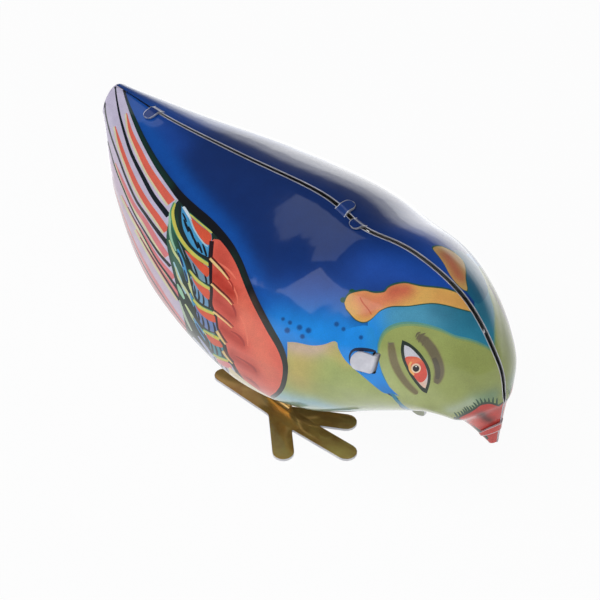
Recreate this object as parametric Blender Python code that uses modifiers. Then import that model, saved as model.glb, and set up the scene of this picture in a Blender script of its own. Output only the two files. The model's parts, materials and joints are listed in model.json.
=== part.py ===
"""Wind-up tin bird: two printed half shells over a clockwork that rocks the body on hinged feet.

Sizes are in metres. The bird faces +X, its right side is -Y, and it stands on z = 0. The pieces
are laid out around the seam plane y = 0 with x = 0 over the feet, and hang from one empty that
brings the middle of the whole toy over the origin.
"""
import math

import bmesh
import bpy
from mathutils import Matrix, Vector

# Place of the toy over the origin
BIRD_X = 0.0050
BIRD_Y = -0.0029

# Body shells
BODY_LENGTH = 0.0920
BODY_WIDTH = 0.0410
BODY_HEIGHT = 0.0362
BELLY_HEIGHT = 0.0066
TAIL_TO_FEET = 0.0508
WALL = 0.0004
SEAM_GAP = 0.0005
TAIL_ROUND = 0.0012
BEAK_ROUND = 0.0006
RIDGE_ROUNDNESS = 1.65
BELLY_ROUNDNESS = 2.35
WIDEST_UP = 0.45

# Sections from tail to beak: back point along and up, belly point along and up, and width,
# as shares of the body's length, height and width
SECTIONS = (
    (0.010, 0.81, 0.015, 0.60, 0.17),
    (0.150, 0.82, 0.125, 0.33, 0.53),
    (0.340, 0.89, 0.295, 0.11, 0.87),
    (0.550, 0.98, 0.505, 0.00, 1.00),
    (0.750, 1.00, 0.670, 0.06, 0.88),
    (0.890, 0.93, 0.780, 0.18, 0.65),
    (0.975, 0.70, 0.870, 0.28, 0.42),
    (0.994, 0.52, 0.905, 0.30, 0.26),
    (0.992, 0.44, 0.925, 0.28, 0.15),
    (0.984, 0.24, 0.968, 0.22, 0.045),
)
RINGS_PER_SECTION = 4
SKIN_STEPS = 13
END_RINGS = (25, 50, 72)

# Seam tabs: strips of one half bent over the other
TAB_WIDTH = 0.0022
TAB_REACH = 0.0023
TAB_THICKNESS = 0.0003
TAB_LIFT = 0.0005
TAIL_TAB_X = -0.0400
LEFT_BACK_TAB_X = 0.0078
RIGHT_BACK_TAB_X = 0.0046
THROAT_TAB_X = 0.0240
BEAK_TAB_Z = 0.0190
BEAK_TAB_REACH = 0.0016

# Belly opening for the legs
OPENING_BACK_X = -0.0095
OPENING_FRONT_X = 0.0065
OPENING_WIDTH = 0.0192
OPENING_TOP = 0.0140
OPENING_ROUND = 0.0020

# Movement plates
PLATE_SPACING = 0.0130
PLATE_THICKNESS = 0.0006
PLATE_RIM = 0.0024
PILLAR_RADIUS = 0.0012
PILLAR_PIVOT_RADIUS = 0.0007
HOLE_ROOM = 0.00025
RUNNING_ROOM = 0.0010
RIVET_LENGTH = 0.0006
WINDOW_RADIUS = 0.0032
WINDOW_X = 0.0150
WINDOW_Z = 0.0227

# Neck tab that holds each plate in its shell
NECK_TAB_X = 0.0250
RIGHT_NECK_TAB_Z = 0.0298
LEFT_NECK_TAB_Z = 0.0220
NECK_TAB_WIDTH = 0.0030
NECK_TAB_FOLD = 0.0040
NECK_SLOT_ROOM = 0.0003

# Wheels and pinions
MODULE = 0.0005
WHEEL_ADDENDUM = 0.8
WHEEL_DEDENDUM = 1.0
BACKLASH = 0.2
MESH_ROOM = 0.0001
GREAT_TEETH = 32
SECOND_TEETH = 28
PINION_TEETH = 8
WHEEL_THICKNESS = 0.0008
PINION_LENGTH = 0.0013
CRANK_PINION_LENGTH = 0.0018
END_SHAKE = 0.0004
FACE_GAP = 0.0003
SECOND_WHEEL_INSET = 0.0023
CROSSING_RADIUS = 0.0015
GREAT_BELLY_ROOM = 0.0027

# Arbors
WINDING_RADIUS = 0.0015
WINDING_PIVOT_RADIUS = 0.0010
ARBOR_RADIUS = 0.0008
PIVOT_RADIUS = 0.00055
SECOND_ARBOR_ANGLE = 42
CRANK_ARBOR_ANGLE = -36

# Ratchet and click
RATCHET_TEETH = 12
RATCHET_TIP = 0.0036
RATCHET_ROOT = 0.0029
RATCHET_THICKNESS = 0.0006
CLICK_PIVOT_REACH = 0.0068
CLICK_PIVOT_ANGLE = 52
CLICK_EYE_RADIUS = 0.00085
CLICK_TIP_RADIUS = 0.00025
CLICK_TIP_REACH = 0.0036
CLICK_TIP_ANGLE = 10
CLICK_RIVET_RADIUS = 0.00035
CLICK_SPRING_RADIUS = 0.00015

# Mainspring
SPRING_STRIP = 0.00025
SPRING_INNER = 0.0022
SPRING_OUTER = 0.0070
SPRING_TURNS = 6
SPRING_STEPS = 16
SPRING_WRAP = 200

# Key
KEY_SLEEVE_LENGTH = 0.0040
KEY_SLEEVE_WALL = 0.0005
KEY_SHELL_ROOM = 0.0008
KEY_SHEET = 0.0009
KEY_EAR_RADIUS = 0.0024
KEY_EAR_HOLE = 0.0010

# Legs, crank and lever
AXLE_X = -0.0020
AXLE_HEIGHT = 0.0120
AXLE_RADIUS = 0.0010
AXLE_HEAD_RADIUS = 0.0017
AXLE_HEAD_LENGTH = 0.0005
CRANK_RADIUS = 0.0024
CRANK_DISC_RADIUS = 0.0033
CRANK_PIN_RADIUS = 0.00045
LEVER_THICKNESS = 0.0006
LEVER_WIDTH = 0.0038
LEVER_REST_ANGLE = -5
LOWER_PILLAR_REACH = 0.0079
LOWER_PILLAR_ANGLE = -54

# Feet
SHEET = 0.0005
FOOT_SPREAD = 0.0100
LEG_GAP = 0.0004
TOE_HALF_WIDTH = 0.0018
TOES = ((-41, 0.0112), (5, 0.0162), (36, 0.0127), (186, 0.0146))
LEG_FOOT_WIDTH = 0.0054
LEG_BEND = 0.0010
LEG_EYE_RADIUS = 0.0024

ROUND_STEPS = 16
HULL_STEPS = 20
WELD = 0.00001
REACH_THROUGH = 0.0020

BLUE = (0.02, 0.08, 0.30)
GOLD = (0.40, 0.27, 0.06)
STEEL = (0.55, 0.55, 0.56)
SPRING_BLUE = (0.20, 0.22, 0.28)
BRASS = (0.72, 0.53, 0.22)


# Collections and materials

def start():
    """Empty the scene and return the collections and the toy's own empty."""
    for thing in list(bpy.data.objects):
        bpy.data.objects.remove(thing, do_unlink=True)
    groups = []
    for name in ("tin_bird", "tin_bird_cutters"):
        group = bpy.data.collections.new(name)
        bpy.context.scene.collection.children.link(group)
        groups.append(group)
    toy = bpy.data.objects.new("bird_on_floor", None)
    toy.location = (BIRD_X, BIRD_Y, 0)
    groups[0].objects.link(toy)
    return groups[0], groups[1], toy


PARTS, CUTTERS, TOY = start()


def keep(obj, colour, roughness, metallic):
    """Add a finished piece to the toy with a material of its own."""
    material = bpy.data.materials.new(obj.name)
    material.use_nodes = True
    shader = material.node_tree.nodes["Principled BSDF"]
    shader.inputs["Base Color"].default_value = (*colour, 1)
    shader.inputs["Roughness"].default_value = roughness
    shader.inputs["Metallic"].default_value = metallic
    obj.data.materials.append(material)
    if obj.name not in PARTS.objects:
        PARTS.objects.link(obj)
    obj.parent = TOY
    return obj


def as_tool(obj):
    """Keep an object as a guide for cutting or joining only."""
    CUTTERS.objects.link(obj)
    obj.parent = TOY
    obj.hide_render = True
    obj.display_type = "WIRE"
    return obj


def combine(obj, tool, operation):
    """Cut a tool out of a piece, or join it to the piece."""
    modifier = obj.modifiers.new(f"{operation.lower()} {tool.name}", "BOOLEAN")
    modifier.operation = operation
    modifier.solver = "EXACT"
    modifier.object = tool


# Basic forms

def mesh_object(name, points, faces, place=(0, 0, 0)):
    """A mesh object with smooth round faces and sharp edges."""
    mesh = bpy.data.meshes.new(name)
    mesh.from_pydata(points, [], faces)
    mesh.shade_smooth()
    mesh.set_sharp_from_angle(angle=math.radians(40))
    obj = bpy.data.objects.new(name, mesh)
    obj.location = place
    return obj


def box(name, size, middle):
    """A block of a size around its middle."""
    mesh = bpy.data.meshes.new(name)
    work = bmesh.new()
    bmesh.ops.create_cube(work, size=1, matrix=Matrix.Diagonal((*size, 1)))
    work.to_mesh(mesh)
    work.free()
    block = bpy.data.objects.new(name, mesh)
    block.location = middle
    return block


def polar(radius, degrees, centre=(0, 0)):
    """A point at a distance and an angle from a centre."""
    angle = math.radians(degrees)
    return (centre[0] + radius * math.cos(angle), centre[1] + radius * math.sin(angle))


def circle(centre, radius, steps=ROUND_STEPS):
    """Points around a circle."""
    return [polar(radius, 360 * step / steps, centre) for step in range(steps)]


def hull(*discs):
    """Outline of a strap drawn tight around discs given as (centre, radius)."""
    points = set()
    for centre, radius in discs:
        points.update(circle(centre, radius, HULL_STEPS) if radius else [tuple(centre)])
    points = sorted(points)

    def half(ordered):
        chain = []
        for point in ordered:
            while len(chain) > 1:
                (ax, ay), (bx, by) = chain[-2:]
                if (bx - ax) * (point[1] - ay) - (by - ay) * (point[0] - ax) > 0:
                    break
                chain.pop()
            chain.append(point)
        return chain[:-1]

    return half(points) + half(points[::-1])


def sheet(name, loops, thickness, place, upright=True):
    """Flat piece stamped from sheet: outline and holes as loops, its middle at the place."""
    curve = bpy.data.curves.new(name, "CURVE")
    curve.dimensions = "2D"
    curve.fill_mode = "BOTH"
    curve.extrude = thickness / 2
    for loop in loops:
        spline = curve.splines.new("POLY")
        spline.points.add(len(loop) - 1)
        for point, (along, up) in zip(spline.points, loop):
            point.co = (along, up, 0, 1)
        spline.use_cyclic_u = True
    obj = bpy.data.objects.new(name, curve)
    obj.location = place
    if upright:
        obj.rotation_euler = (math.radians(90), 0, 0)
    return obj


def welded(obj):
    """Replace a curve object by a closed mesh object in the same place."""
    name = obj.name
    bpy.context.scene.collection.objects.link(obj)
    graph = bpy.context.evaluated_depsgraph_get()
    mesh = bpy.data.meshes.new_from_object(obj.evaluated_get(graph))
    matrix = obj.matrix_world.copy()
    bpy.data.objects.remove(obj, do_unlink=True)
    work = bmesh.new()
    work.from_mesh(mesh)
    bmesh.ops.remove_doubles(work, verts=work.verts, dist=WELD)
    work.to_mesh(mesh)
    work.free()
    solid = bpy.data.objects.new(name, mesh)
    solid.matrix_world = matrix
    return solid


def turned(name, profile, place, closed=False):
    """Round piece about a line along Y: profile as (radius, along), from its far end back."""
    mesh = bpy.data.meshes.new(name)
    edges = [(index, index + 1) for index in range(len(profile) - 1)]
    if closed:
        edges.append((len(profile) - 1, 0))
    mesh.from_pydata([(radius, 0, along) for radius, along in profile], edges, [])
    obj = bpy.data.objects.new(name, mesh)
    obj.location = place
    obj.rotation_euler = (math.radians(-90), 0, 0)
    screw = obj.modifiers.new("turn", "SCREW")
    screw.axis = "Z"
    screw.angle = math.tau
    screw.steps = ROUND_STEPS
    screw.render_steps = ROUND_STEPS
    screw.use_merge_vertices = True
    screw.merge_threshold = WELD
    screw.use_smooth_shade = True
    return obj


def stepped(*steps):
    """Profile of a solid shaft from steps of (radius, from, to), its far end first."""
    profile = [(0, steps[0][2])]
    for radius, start_at, end_at in steps:
        profile += [(radius, end_at), (radius, start_at)]
    profile.append((0, steps[-1][1]))
    return profile


def tube(outer, inner, start_at, end_at):
    """Closed profile of a tube."""
    return [(inner, end_at), (outer, end_at), (outer, start_at), (inner, start_at)]


# Body surface

def blend_rows(rows, place):
    """Smooth curve through rows of numbers, at a place from 0 to the last row."""
    last = len(rows) - 1
    index = min(int(place), last - 1)
    part = place - index

    def row(at):
        if at < 0:
            return [2 * first - second for first, second in zip(rows[0], rows[1])]
        if at > last:
            return [2 * first - second for first, second in zip(rows[last], rows[last - 1])]
        return rows[at]

    values = []
    for a, b, c, d in zip(row(index - 1), row(index), row(index + 1), row(index + 2)):
        bend = (2 * a - 5 * b + 4 * c - d) * part**2 + (3 * b - a - 3 * c + d) * part**3
        values.append(0.5 * (2 * b + (c - a) * part + bend))
    return values


LAST_SECTION = len(SECTIONS) - 1


def section(place):
    """Back point, belly point and half width of the body at a place along it."""
    back_along, back_up, belly_along, belly_up, width = blend_rows(SECTIONS, place)
    back = Vector((back_along * BODY_LENGTH - TAIL_TO_FEET, 0, back_up * BODY_HEIGHT + BELLY_HEIGHT))
    belly = Vector((belly_along * BODY_LENGTH - TAIL_TO_FEET, 0, belly_up * BODY_HEIGHT + BELLY_HEIGHT))
    return back, belly, width * BODY_WIDTH / 2


def skin(side, place, turn):
    """Point of a half's outer skin, turn running from 0 at the back seam to pi at the belly."""
    back, belly, width = section(place)
    middle = belly.lerp(back, WIDEST_UP)
    upper = turn <= math.pi / 2
    power = 2 / (RIDGE_ROUNDNESS if upper else BELLY_ROUNDNESS)
    reach = abs(math.cos(turn)) ** power
    point = middle.lerp(back if upper else belly, reach)
    point.y = side * (SEAM_GAP / 2 + width * max(math.sin(turn), 0) ** power)
    return point


def skin_normal(side, place, turn):
    """Outward direction of a half's skin."""
    step = 0.02
    low, high = max(place - step, 0), min(place + step, LAST_SECTION)
    down, up = max(turn - step, 0.005), min(turn + step, math.pi - 0.005)
    along = skin(side, high, turn) - skin(side, low, turn)
    around = skin(side, place, up) - skin(side, place, down)
    normal = along.cross(around)
    return (normal if normal.y * side > 0 else -normal).normalized()


def place_where(test):
    """Place along the body where a rising value passes zero."""
    low, high = 0.0, float(LAST_SECTION)
    for _ in range(40):
        middle = (low + high) / 2
        if test(middle) < 0:
            low = middle
        else:
            high = middle
    return (low + high) / 2


def turn_near_seam(place, distance, belly=False):
    """Turn of the skin point at a small distance from the seam plane."""
    width = section(place)[2]
    power = (BELLY_ROUNDNESS if belly else RIDGE_ROUNDNESS) / 2
    turn = math.asin(min(distance / width, 1) ** power)
    return math.pi - turn if belly else turn


def half_width_at(x, z):
    """Distance of the outer skin from the seam plane at a point of the side view."""
    def ahead(place):
        back, belly, _ = section(place)
        share = (z - belly.z) / (back.z - belly.z)
        return belly.x + share * (back.x - belly.x) - x

    back, belly, width = section(place_where(ahead))
    share = (z - belly.z) / (back.z - belly.z)
    if share > WIDEST_UP:
        level, power = (share - WIDEST_UP) / (1 - WIDEST_UP), RIDGE_ROUNDNESS
    else:
        level, power = (WIDEST_UP - share) / WIDEST_UP, BELLY_ROUNDNESS
    return SEAM_GAP / 2 + width * (1 - min(level, 1) ** power) ** (1 / power)


# Places of the movement

GREAT_TIP = MODULE * (GREAT_TEETH / 2 + WHEEL_ADDENDUM)
SECOND_TIP = MODULE * (SECOND_TEETH / 2 + WHEEL_ADDENDUM)
INNER_FACE = PLATE_SPACING / 2
OUTER_FACE = INNER_FACE + PLATE_THICKNESS

AXLE = (AXLE_X, AXLE_HEIGHT)
WINDING_Z = BELLY_HEIGHT + WALL + GREAT_BELLY_ROOM + GREAT_TIP
WINDING_REACH = GREAT_TIP + AXLE_RADIUS + RUNNING_ROOM
WINDING = (AXLE_X - math.sqrt(WINDING_REACH**2 - (WINDING_Z - AXLE_HEIGHT) ** 2), WINDING_Z)
SECOND = polar(MODULE * (GREAT_TEETH + PINION_TEETH) / 2 + MESH_ROOM, SECOND_ARBOR_ANGLE, WINDING)
CRANK = polar(MODULE * (SECOND_TEETH + PINION_TEETH) / 2 + MESH_ROOM, CRANK_ARBOR_ANGLE, SECOND)
PILLARS = {
    "rear": polar(GREAT_TIP + PILLAR_RADIUS + RUNNING_ROOM, 162, WINDING),
    "top": polar(GREAT_TIP + PILLAR_RADIUS + 2 * RUNNING_ROOM, 104, WINDING),
    "front": polar(SECOND_TIP + PILLAR_RADIUS + RUNNING_ROOM, 25, SECOND),
    "lower": polar(LOWER_PILLAR_REACH, LOWER_PILLAR_ANGLE, CRANK),
}

# Layers across the movement, from the right plate to the left one
GREAT_LOW = -INNER_FACE + 2 * END_SHAKE
GREAT_HIGH = GREAT_LOW + WHEEL_THICKNESS
RATCHET_LOW = GREAT_HIGH + FACE_GAP
RATCHET_HIGH = RATCHET_LOW + RATCHET_THICKNESS
SECOND_HIGH = INNER_FACE - SECOND_WHEEL_INSET
SECOND_LOW = SECOND_HIGH - WHEEL_THICKNESS
SPRING_LOW = RATCHET_HIGH + 3 * FACE_GAP
SPRING_HIGH = SECOND_LOW - RUNNING_ROOM
RIGHT_LEG_Y = -OUTER_FACE - LEG_GAP - SHEET / 2
CRANK_DISC_LOW = OUTER_FACE + END_SHAKE
CRANK_DISC_HIGH = CRANK_DISC_LOW + WHEEL_THICKNESS
CRANK_PIN_END = CRANK_DISC_HIGH + WHEEL_THICKNESS
LEVER_LOW = CRANK_PIN_END + FACE_GAP
LEVER_HIGH = LEVER_LOW + LEVER_THICKNESS
KEY_Y = half_width_at(*WINDING) + KEY_SHELL_ROOM


def neck_tab_z(side):
    """Height of a side's neck tab."""
    return LEFT_NECK_TAB_Z if side > 0 else RIGHT_NECK_TAB_Z


def at(centre, y=0.0):
    """World place from a side-view point and a distance across."""
    return (centre[0], y, centre[1])


# Body halves

def half_shell(name, side):
    """One stamped half: a lofted skin closed in a small dome at the tail and the beak."""
    rings = []
    for degrees in reversed(END_RINGS):
        rings.append(end_ring(side, 0, TAIL_ROUND, degrees))
    for step in range(LAST_SECTION * RINGS_PER_SECTION + 1):
        rings.append(skin_ring(side, step / RINGS_PER_SECTION))
    for degrees in END_RINGS:
        rings.append(end_ring(side, LAST_SECTION, BEAK_ROUND, degrees))
    points = [point for ring in rings for point in ring]
    across = SKIN_STEPS + 1
    faces = []
    for ring in range(len(rings) - 1):
        for step in range(SKIN_STEPS):
            first = ring * across + step
            faces.append((first, first + 1, first + across + 1, first + across))
    tail_apex, beak_apex = len(points), len(points) + 1
    points += [end_ring(side, 0, TAIL_ROUND, 90)[0], end_ring(side, LAST_SECTION, BEAK_ROUND, 90)[0]]
    last_ring = (len(rings) - 1) * across
    for step in range(SKIN_STEPS):
        faces.append((tail_apex, step + 1, step))
        faces.append((beak_apex, last_ring + step, last_ring + step + 1))
    if side > 0:
        faces = [face[::-1] for face in faces]
    shell = mesh_object(name, points, faces)
    solidify = shell.modifiers.new("tin", "SOLIDIFY")
    solidify.thickness = WALL
    solidify.offset = -1
    return shell


def skin_ring(side, place):
    """Points of one half section from the back seam to the belly seam."""
    return [skin(side, place, math.pi * step / SKIN_STEPS) for step in range(SKIN_STEPS + 1)]


def end_ring(side, place, length, degrees):
    """Ring of the dome that closes an end of the body."""
    inward = 0.2 if place == 0 else -0.2
    middles = []
    for where in (place, place + inward):
        back, belly, _ = section(where)
        middles.append(belly.lerp(back, WIDEST_UP))
    outward = (middles[0] - middles[1]).normalized()
    seam = Vector((middles[0].x, side * SEAM_GAP / 2, middles[0].z))
    angle = math.radians(degrees)
    shift = outward * length * math.sin(angle)
    return [seam + (point - seam) * math.cos(angle) + shift for point in skin_ring(side, place)]


def strip(name, rows, thickness):
    """Bent strip of sheet from rows of points along its middle surface."""
    across = len(rows[0])
    faces = []
    for row in range(len(rows) - 1):
        for step in range(across - 1):
            first = row * across + step
            faces.append((first, first + 1, first + across + 1, first + across))
    obj = mesh_object(name, [point for row in rows for point in row], faces)
    solidify = obj.modifiers.new("sheet", "SOLIDIFY")
    solidify.thickness = thickness
    solidify.offset = 0
    solidify.use_even_offset = True
    return as_tool(obj)


def seam_tab(name, carrier, place, reach=TAB_REACH, belly=False):
    """Tab that starts inside one half's wall and lies folded over the other half."""
    step = TAB_WIDTH / 2 / (section(min(place + 0.5, LAST_SECTION))[0] - section(place)[0]).length / 2
    spots = ((1.0, -WALL / 2), (0.7, -WALL / 2), (0.35, TAB_LIFT / 2), (0.08, TAB_LIFT))
    path = [(carrier, share, lift) for share, lift in spots]
    path += [(-carrier, share, TAB_LIFT) for share in (0.08, 0.4, 0.75, 1.0)]
    rows = []
    for side, share, lift in path:
        row = []
        for where in (place - step, place, place + step):
            turn = turn_near_seam(where, share * reach, belly)
            row.append(skin(side, where, turn) + skin_normal(side, where, turn) * lift)
        rows.append(row)
    return strip(name, rows, TAB_THICKNESS)


def belly_cutter():
    """Block with rounded upright edges that opens the belly."""
    length = OPENING_FRONT_X - OPENING_BACK_X
    middle = ((OPENING_BACK_X + OPENING_FRONT_X) / 2, 0, OPENING_TOP / 2)
    block = box("belly_opening", (length, OPENING_WIDTH, OPENING_TOP), middle)
    bevel = block.modifiers.new("round corners", "BEVEL")
    bevel.width = OPENING_ROUND
    bevel.segments = 3
    return as_tool(block)


def neck_slot_cutter(name, side):
    """Block that cuts the slot for the plate's neck tab."""
    tab_z = neck_tab_z(side)
    skin_y = half_width_at(NECK_TAB_X, tab_z)
    slot_length = PLATE_THICKNESS + 2 * NECK_SLOT_ROOM
    slot_height = NECK_TAB_WIDTH + 2 * NECK_SLOT_ROOM
    size = (slot_length, 4 * REACH_THROUGH, slot_height)
    return as_tool(box(name, size, (NECK_TAB_X, side * skin_y, tab_z)))


def body_halves():
    """Both printed halves with their tabs, the belly opening, the neck slots and the key hole."""
    right = half_shell("right_body_half", -1)
    left = half_shell("left_body_half", 1)
    for half in (right, left):
        keep(half, BLUE, 0.25, 0.0)

    def back_place(x):
        return place_where(lambda place: section(place)[0].x - x)

    def belly_place(x):
        return place_where(lambda place: section(place)[1].x - x)

    beak_place = place_where(lambda place: BEAK_TAB_Z - section(place)[0].z if place > 4 else -1)
    combine(left, seam_tab("tail_tab", 1, back_place(TAIL_TAB_X)), "UNION")
    combine(left, seam_tab("left_back_tab", 1, back_place(LEFT_BACK_TAB_X)), "UNION")
    combine(right, seam_tab("right_back_tab", -1, back_place(RIGHT_BACK_TAB_X)), "UNION")
    combine(right, seam_tab("throat_tab", -1, belly_place(THROAT_TAB_X), belly=True), "UNION")
    combine(left, seam_tab("beak_tab", 1, beak_place, BEAK_TAB_REACH), "UNION")
    opening = belly_cutter()
    for half, side in ((right, -1), (left, 1)):
        combine(half, opening, "DIFFERENCE")
        combine(half, neck_slot_cutter(f"neck_slot_{half.name}", side), "DIFFERENCE")
    key_hole_radius = WINDING_RADIUS + 2 * HOLE_ROOM
    profile = stepped((key_hole_radius, KEY_Y - 2 * REACH_THROUGH, KEY_Y + REACH_THROUGH))
    key_hole = as_tool(turned("key_hole", profile, at(WINDING)))
    combine(left, key_hole, "DIFFERENCE")


# Movement plates and pillars

def plate(name, side):
    """Plate with its bearing holes, and the neck tab bent through the shell and folded back."""
    reach = PILLAR_PIVOT_RADIUS + PLATE_RIM
    discs = [(centre, reach) for centre in PILLARS.values()]
    discs.append((AXLE, AXLE_RADIUS + PLATE_RIM / 2))
    tab_root = (NECK_TAB_X - NECK_TAB_WIDTH / 2 - HOLE_ROOM, neck_tab_z(side))
    discs.append((tab_root, NECK_TAB_WIDTH / 2 + HOLE_ROOM))
    winding_hole = WINDING_RADIUS if side > 0 else WINDING_PIVOT_RADIUS
    crank_hole = ARBOR_RADIUS if side > 0 else PIVOT_RADIUS
    loops = [hull(*discs)]
    loops.append(circle(WINDING, winding_hole + HOLE_ROOM))
    loops.append(circle(SECOND, PIVOT_RADIUS + HOLE_ROOM))
    loops.append(circle(CRANK, crank_hole + HOLE_ROOM))
    loops.append(circle(AXLE, AXLE_RADIUS + HOLE_ROOM))
    loops += [circle(centre, PILLAR_PIVOT_RADIUS + HOLE_ROOM) for centre in PILLARS.values()]
    loops.append(circle((WINDOW_X, WINDOW_Z), WINDOW_RADIUS))
    middle_y = side * (INNER_FACE + PLATE_THICKNESS / 2)
    solid = welded(sheet(name, loops, PLATE_THICKNESS, (0, middle_y, 0)))
    keep(solid, STEEL, 0.35, 1.0)
    combine(solid, neck_tab(f"neck_tab_{name}", side, middle_y), "UNION")
    return solid


def neck_tab(name, side, plate_y):
    """Strip from inside the plate, out through the neck slot and back along the skin."""
    thickness = PLATE_THICKNESS * 0.8
    lift = NECK_SLOT_ROOM + thickness / 2
    heights = [neck_tab_z(side) + NECK_TAB_WIDTH * share for share in (-0.5, 0, 0.5)]
    rows = [[Vector((NECK_TAB_X - NECK_TAB_WIDTH / 2, plate_y, z)) for z in heights]]
    rows.append([Vector((NECK_TAB_X, plate_y, z)) for z in heights])
    for share in (0, 0.25, 0.5, 0.75, 1):
        x = NECK_TAB_X - share * NECK_TAB_FOLD
        rows.append([Vector((x, side * (half_width_at(x, z) + lift * 1.1), z)) for z in heights])
    return strip(name, rows, thickness)


def pillars():
    """Shouldered pillars riveted through both plates."""
    shoulder = INNER_FACE - FACE_GAP / 2
    end = OUTER_FACE + RIVET_LENGTH / 2
    steps = (
        (PILLAR_PIVOT_RADIUS, shoulder, end),
        (PILLAR_RADIUS, -shoulder, shoulder),
        (PILLAR_PIVOT_RADIUS, -end, -shoulder),
    )
    for word, centre in PILLARS.items():
        keep(turned(f"plate_pillar_{word}", stepped(*steps), at(centre)), STEEL, 0.35, 1.0)


# Wheels

def teeth_outline(teeth, phase, root_share, tip_share):
    """Outline of a toothed wheel with four points a tooth."""
    pitch = MODULE * teeth / 2
    root = pitch - WHEEL_DEDENDUM * MODULE
    tip = pitch + WHEEL_ADDENDUM * MODULE
    step = 360 / teeth
    half = step / 4 * (1 - BACKLASH)
    corners = ((root, -root_share), (tip, -tip_share), (tip, tip_share), (root, root_share))
    outline = []
    for tooth in range(teeth):
        for radius, share in corners:
            outline.append(polar(radius, phase + tooth * step + share * half))
    return outline


def wheel(name, teeth, phase, centre, low, high, bore, holes, colour):
    """Stamped wheel with a bore and round crossing holes."""
    loops = [teeth_outline(teeth, phase, 1.4, 0.55), circle((0, 0), bore)]
    loops += [circle(hole, radius, 12) for hole, radius in holes]
    middle = at(centre, (low + high) / 2)
    return keep(sheet(name, loops, high - low, middle), colour, 0.3, 1.0)


def pinion(name, phase, centre, low, high):
    """Eight-leaved pinion pressed on its arbor."""
    loops = [teeth_outline(PINION_TEETH, phase, 1.15, 0.5), circle((0, 0), ARBOR_RADIUS + HOLE_ROOM * 0.8)]
    return keep(sheet(name, loops, high - low, at(centre, (low + high) / 2)), BRASS, 0.3, 1.0)


def crossing_holes(distance, angles):
    """Round holes that lighten a wheel."""
    return [(polar(distance, angle), CROSSING_RADIUS) for angle in angles]


def winding_group():
    """Great wheel with its click work, and the winding arbor with ratchet, key and mainspring."""
    rivet_at = polar(CLICK_PIVOT_REACH, CLICK_PIVOT_ANGLE)
    holes = crossing_holes(GREAT_TIP * 0.58, (97, 187, 277, 352))
    holes.append((rivet_at, CLICK_RIVET_RADIUS + HOLE_ROOM))
    bore = WINDING_RADIUS + HOLE_ROOM
    wheel("great_wheel", GREAT_TEETH, SECOND_ARBOR_ANGLE, WINDING, GREAT_LOW, GREAT_HIGH, bore, holes, BRASS)

    saw = []
    step = 360 / RATCHET_TEETH
    for tooth in range(RATCHET_TEETH):
        saw += [polar(RATCHET_TIP, tooth * step), polar(RATCHET_ROOT, tooth * step)]
    ratchet_y = (RATCHET_LOW + RATCHET_HIGH) / 2
    ratchet = sheet("ratchet_wheel", [saw, circle((0, 0), bore)], RATCHET_THICKNESS, at(WINDING, ratchet_y))
    keep(ratchet, STEEL, 0.3, 1.0)

    tip_at = polar(CLICK_TIP_REACH, CLICK_TIP_ANGLE)
    pawl = hull((rivet_at, CLICK_EYE_RADIUS), (tip_at, CLICK_TIP_RADIUS))
    eye = circle(rivet_at, CLICK_RIVET_RADIUS + HOLE_ROOM * 0.8, 12)
    keep(sheet("click_pawl", [pawl, eye], RATCHET_THICKNESS, at(WINDING, ratchet_y)), STEEL, 0.3, 1.0)

    head = CLICK_EYE_RADIUS
    back_head = GREAT_LOW - FACE_GAP / 2
    front_head = RATCHET_HIGH + FACE_GAP / 2
    steps = (
        (head, front_head, front_head + FACE_GAP),
        (CLICK_RIVET_RADIUS, back_head, front_head),
        (head, back_head - FACE_GAP / 2, back_head),
    )
    rivet_place = (WINDING[0] + rivet_at[0], WINDING[1] + rivet_at[1])
    keep(turned("click_rivet", stepped(*steps), at(rivet_place)), STEEL, 0.3, 1.0)
    click_spring(rivet_at, tip_at, ratchet_y)
    winding_arbor()
    winding_key()
    mainspring()


def click_spring(rivet_at, tip_at, layer_y):
    """Wire that rises from the great wheel's face and leans on the click's back."""
    pawl = Vector(tip_at) - Vector(rivet_at)
    outward = Vector((-pawl.y, pawl.x)).normalized()
    lean = Vector(rivet_at) + pawl * 0.5
    half_thickness = CLICK_EYE_RADIUS / 2 + CLICK_TIP_RADIUS / 2
    lean += outward * (half_thickness + CLICK_SPRING_RADIUS + HOLE_ROOM / 2)
    foot = Vector(polar(GREAT_TIP * 0.78, -14))
    bow = Vector(polar(GREAT_TIP * 0.80, 6))
    root_y = GREAT_HIGH + HOLE_ROOM / 2
    points = [(foot.x, foot.y, root_y), (foot.x, foot.y, layer_y), (bow.x, bow.y, layer_y)]
    points.append((lean.x, lean.y, layer_y))
    curve = bpy.data.curves.new("click_spring", "CURVE")
    curve.dimensions = "3D"
    curve.bevel_depth = CLICK_SPRING_RADIUS
    curve.bevel_resolution = 2
    curve.use_fill_caps = True
    spline = curve.splines.new("POLY")
    spline.points.add(len(points) - 1)
    for point, (x, z, y) in zip(spline.points, points):
        point.co = (x, y, z, 1)
    obj = bpy.data.objects.new("click_spring", curve)
    obj.location = at(WINDING)
    keep(obj, SPRING_BLUE, 0.3, 1.0)


def winding_arbor():
    """Winding arbor, from its pivot in the right plate out to the key."""
    shoulder = -INNER_FACE + END_SHAKE
    collar = INNER_FACE - END_SHAKE
    steps = (
        (WINDING_RADIUS, collar, KEY_Y + KEY_SLEEVE_LENGTH - 2 * FACE_GAP),
        (WINDING_RADIUS + PLATE_THICKNESS, collar - 2 * END_SHAKE, collar),
        (WINDING_RADIUS, shoulder, collar - 2 * END_SHAKE),
        (WINDING_PIVOT_RADIUS, -OUTER_FACE - RIVET_LENGTH / 2, shoulder),
    )
    keep(turned("winding_arbor", stepped(*steps), at(WINDING)), STEEL, 0.3, 1.0)


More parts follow.
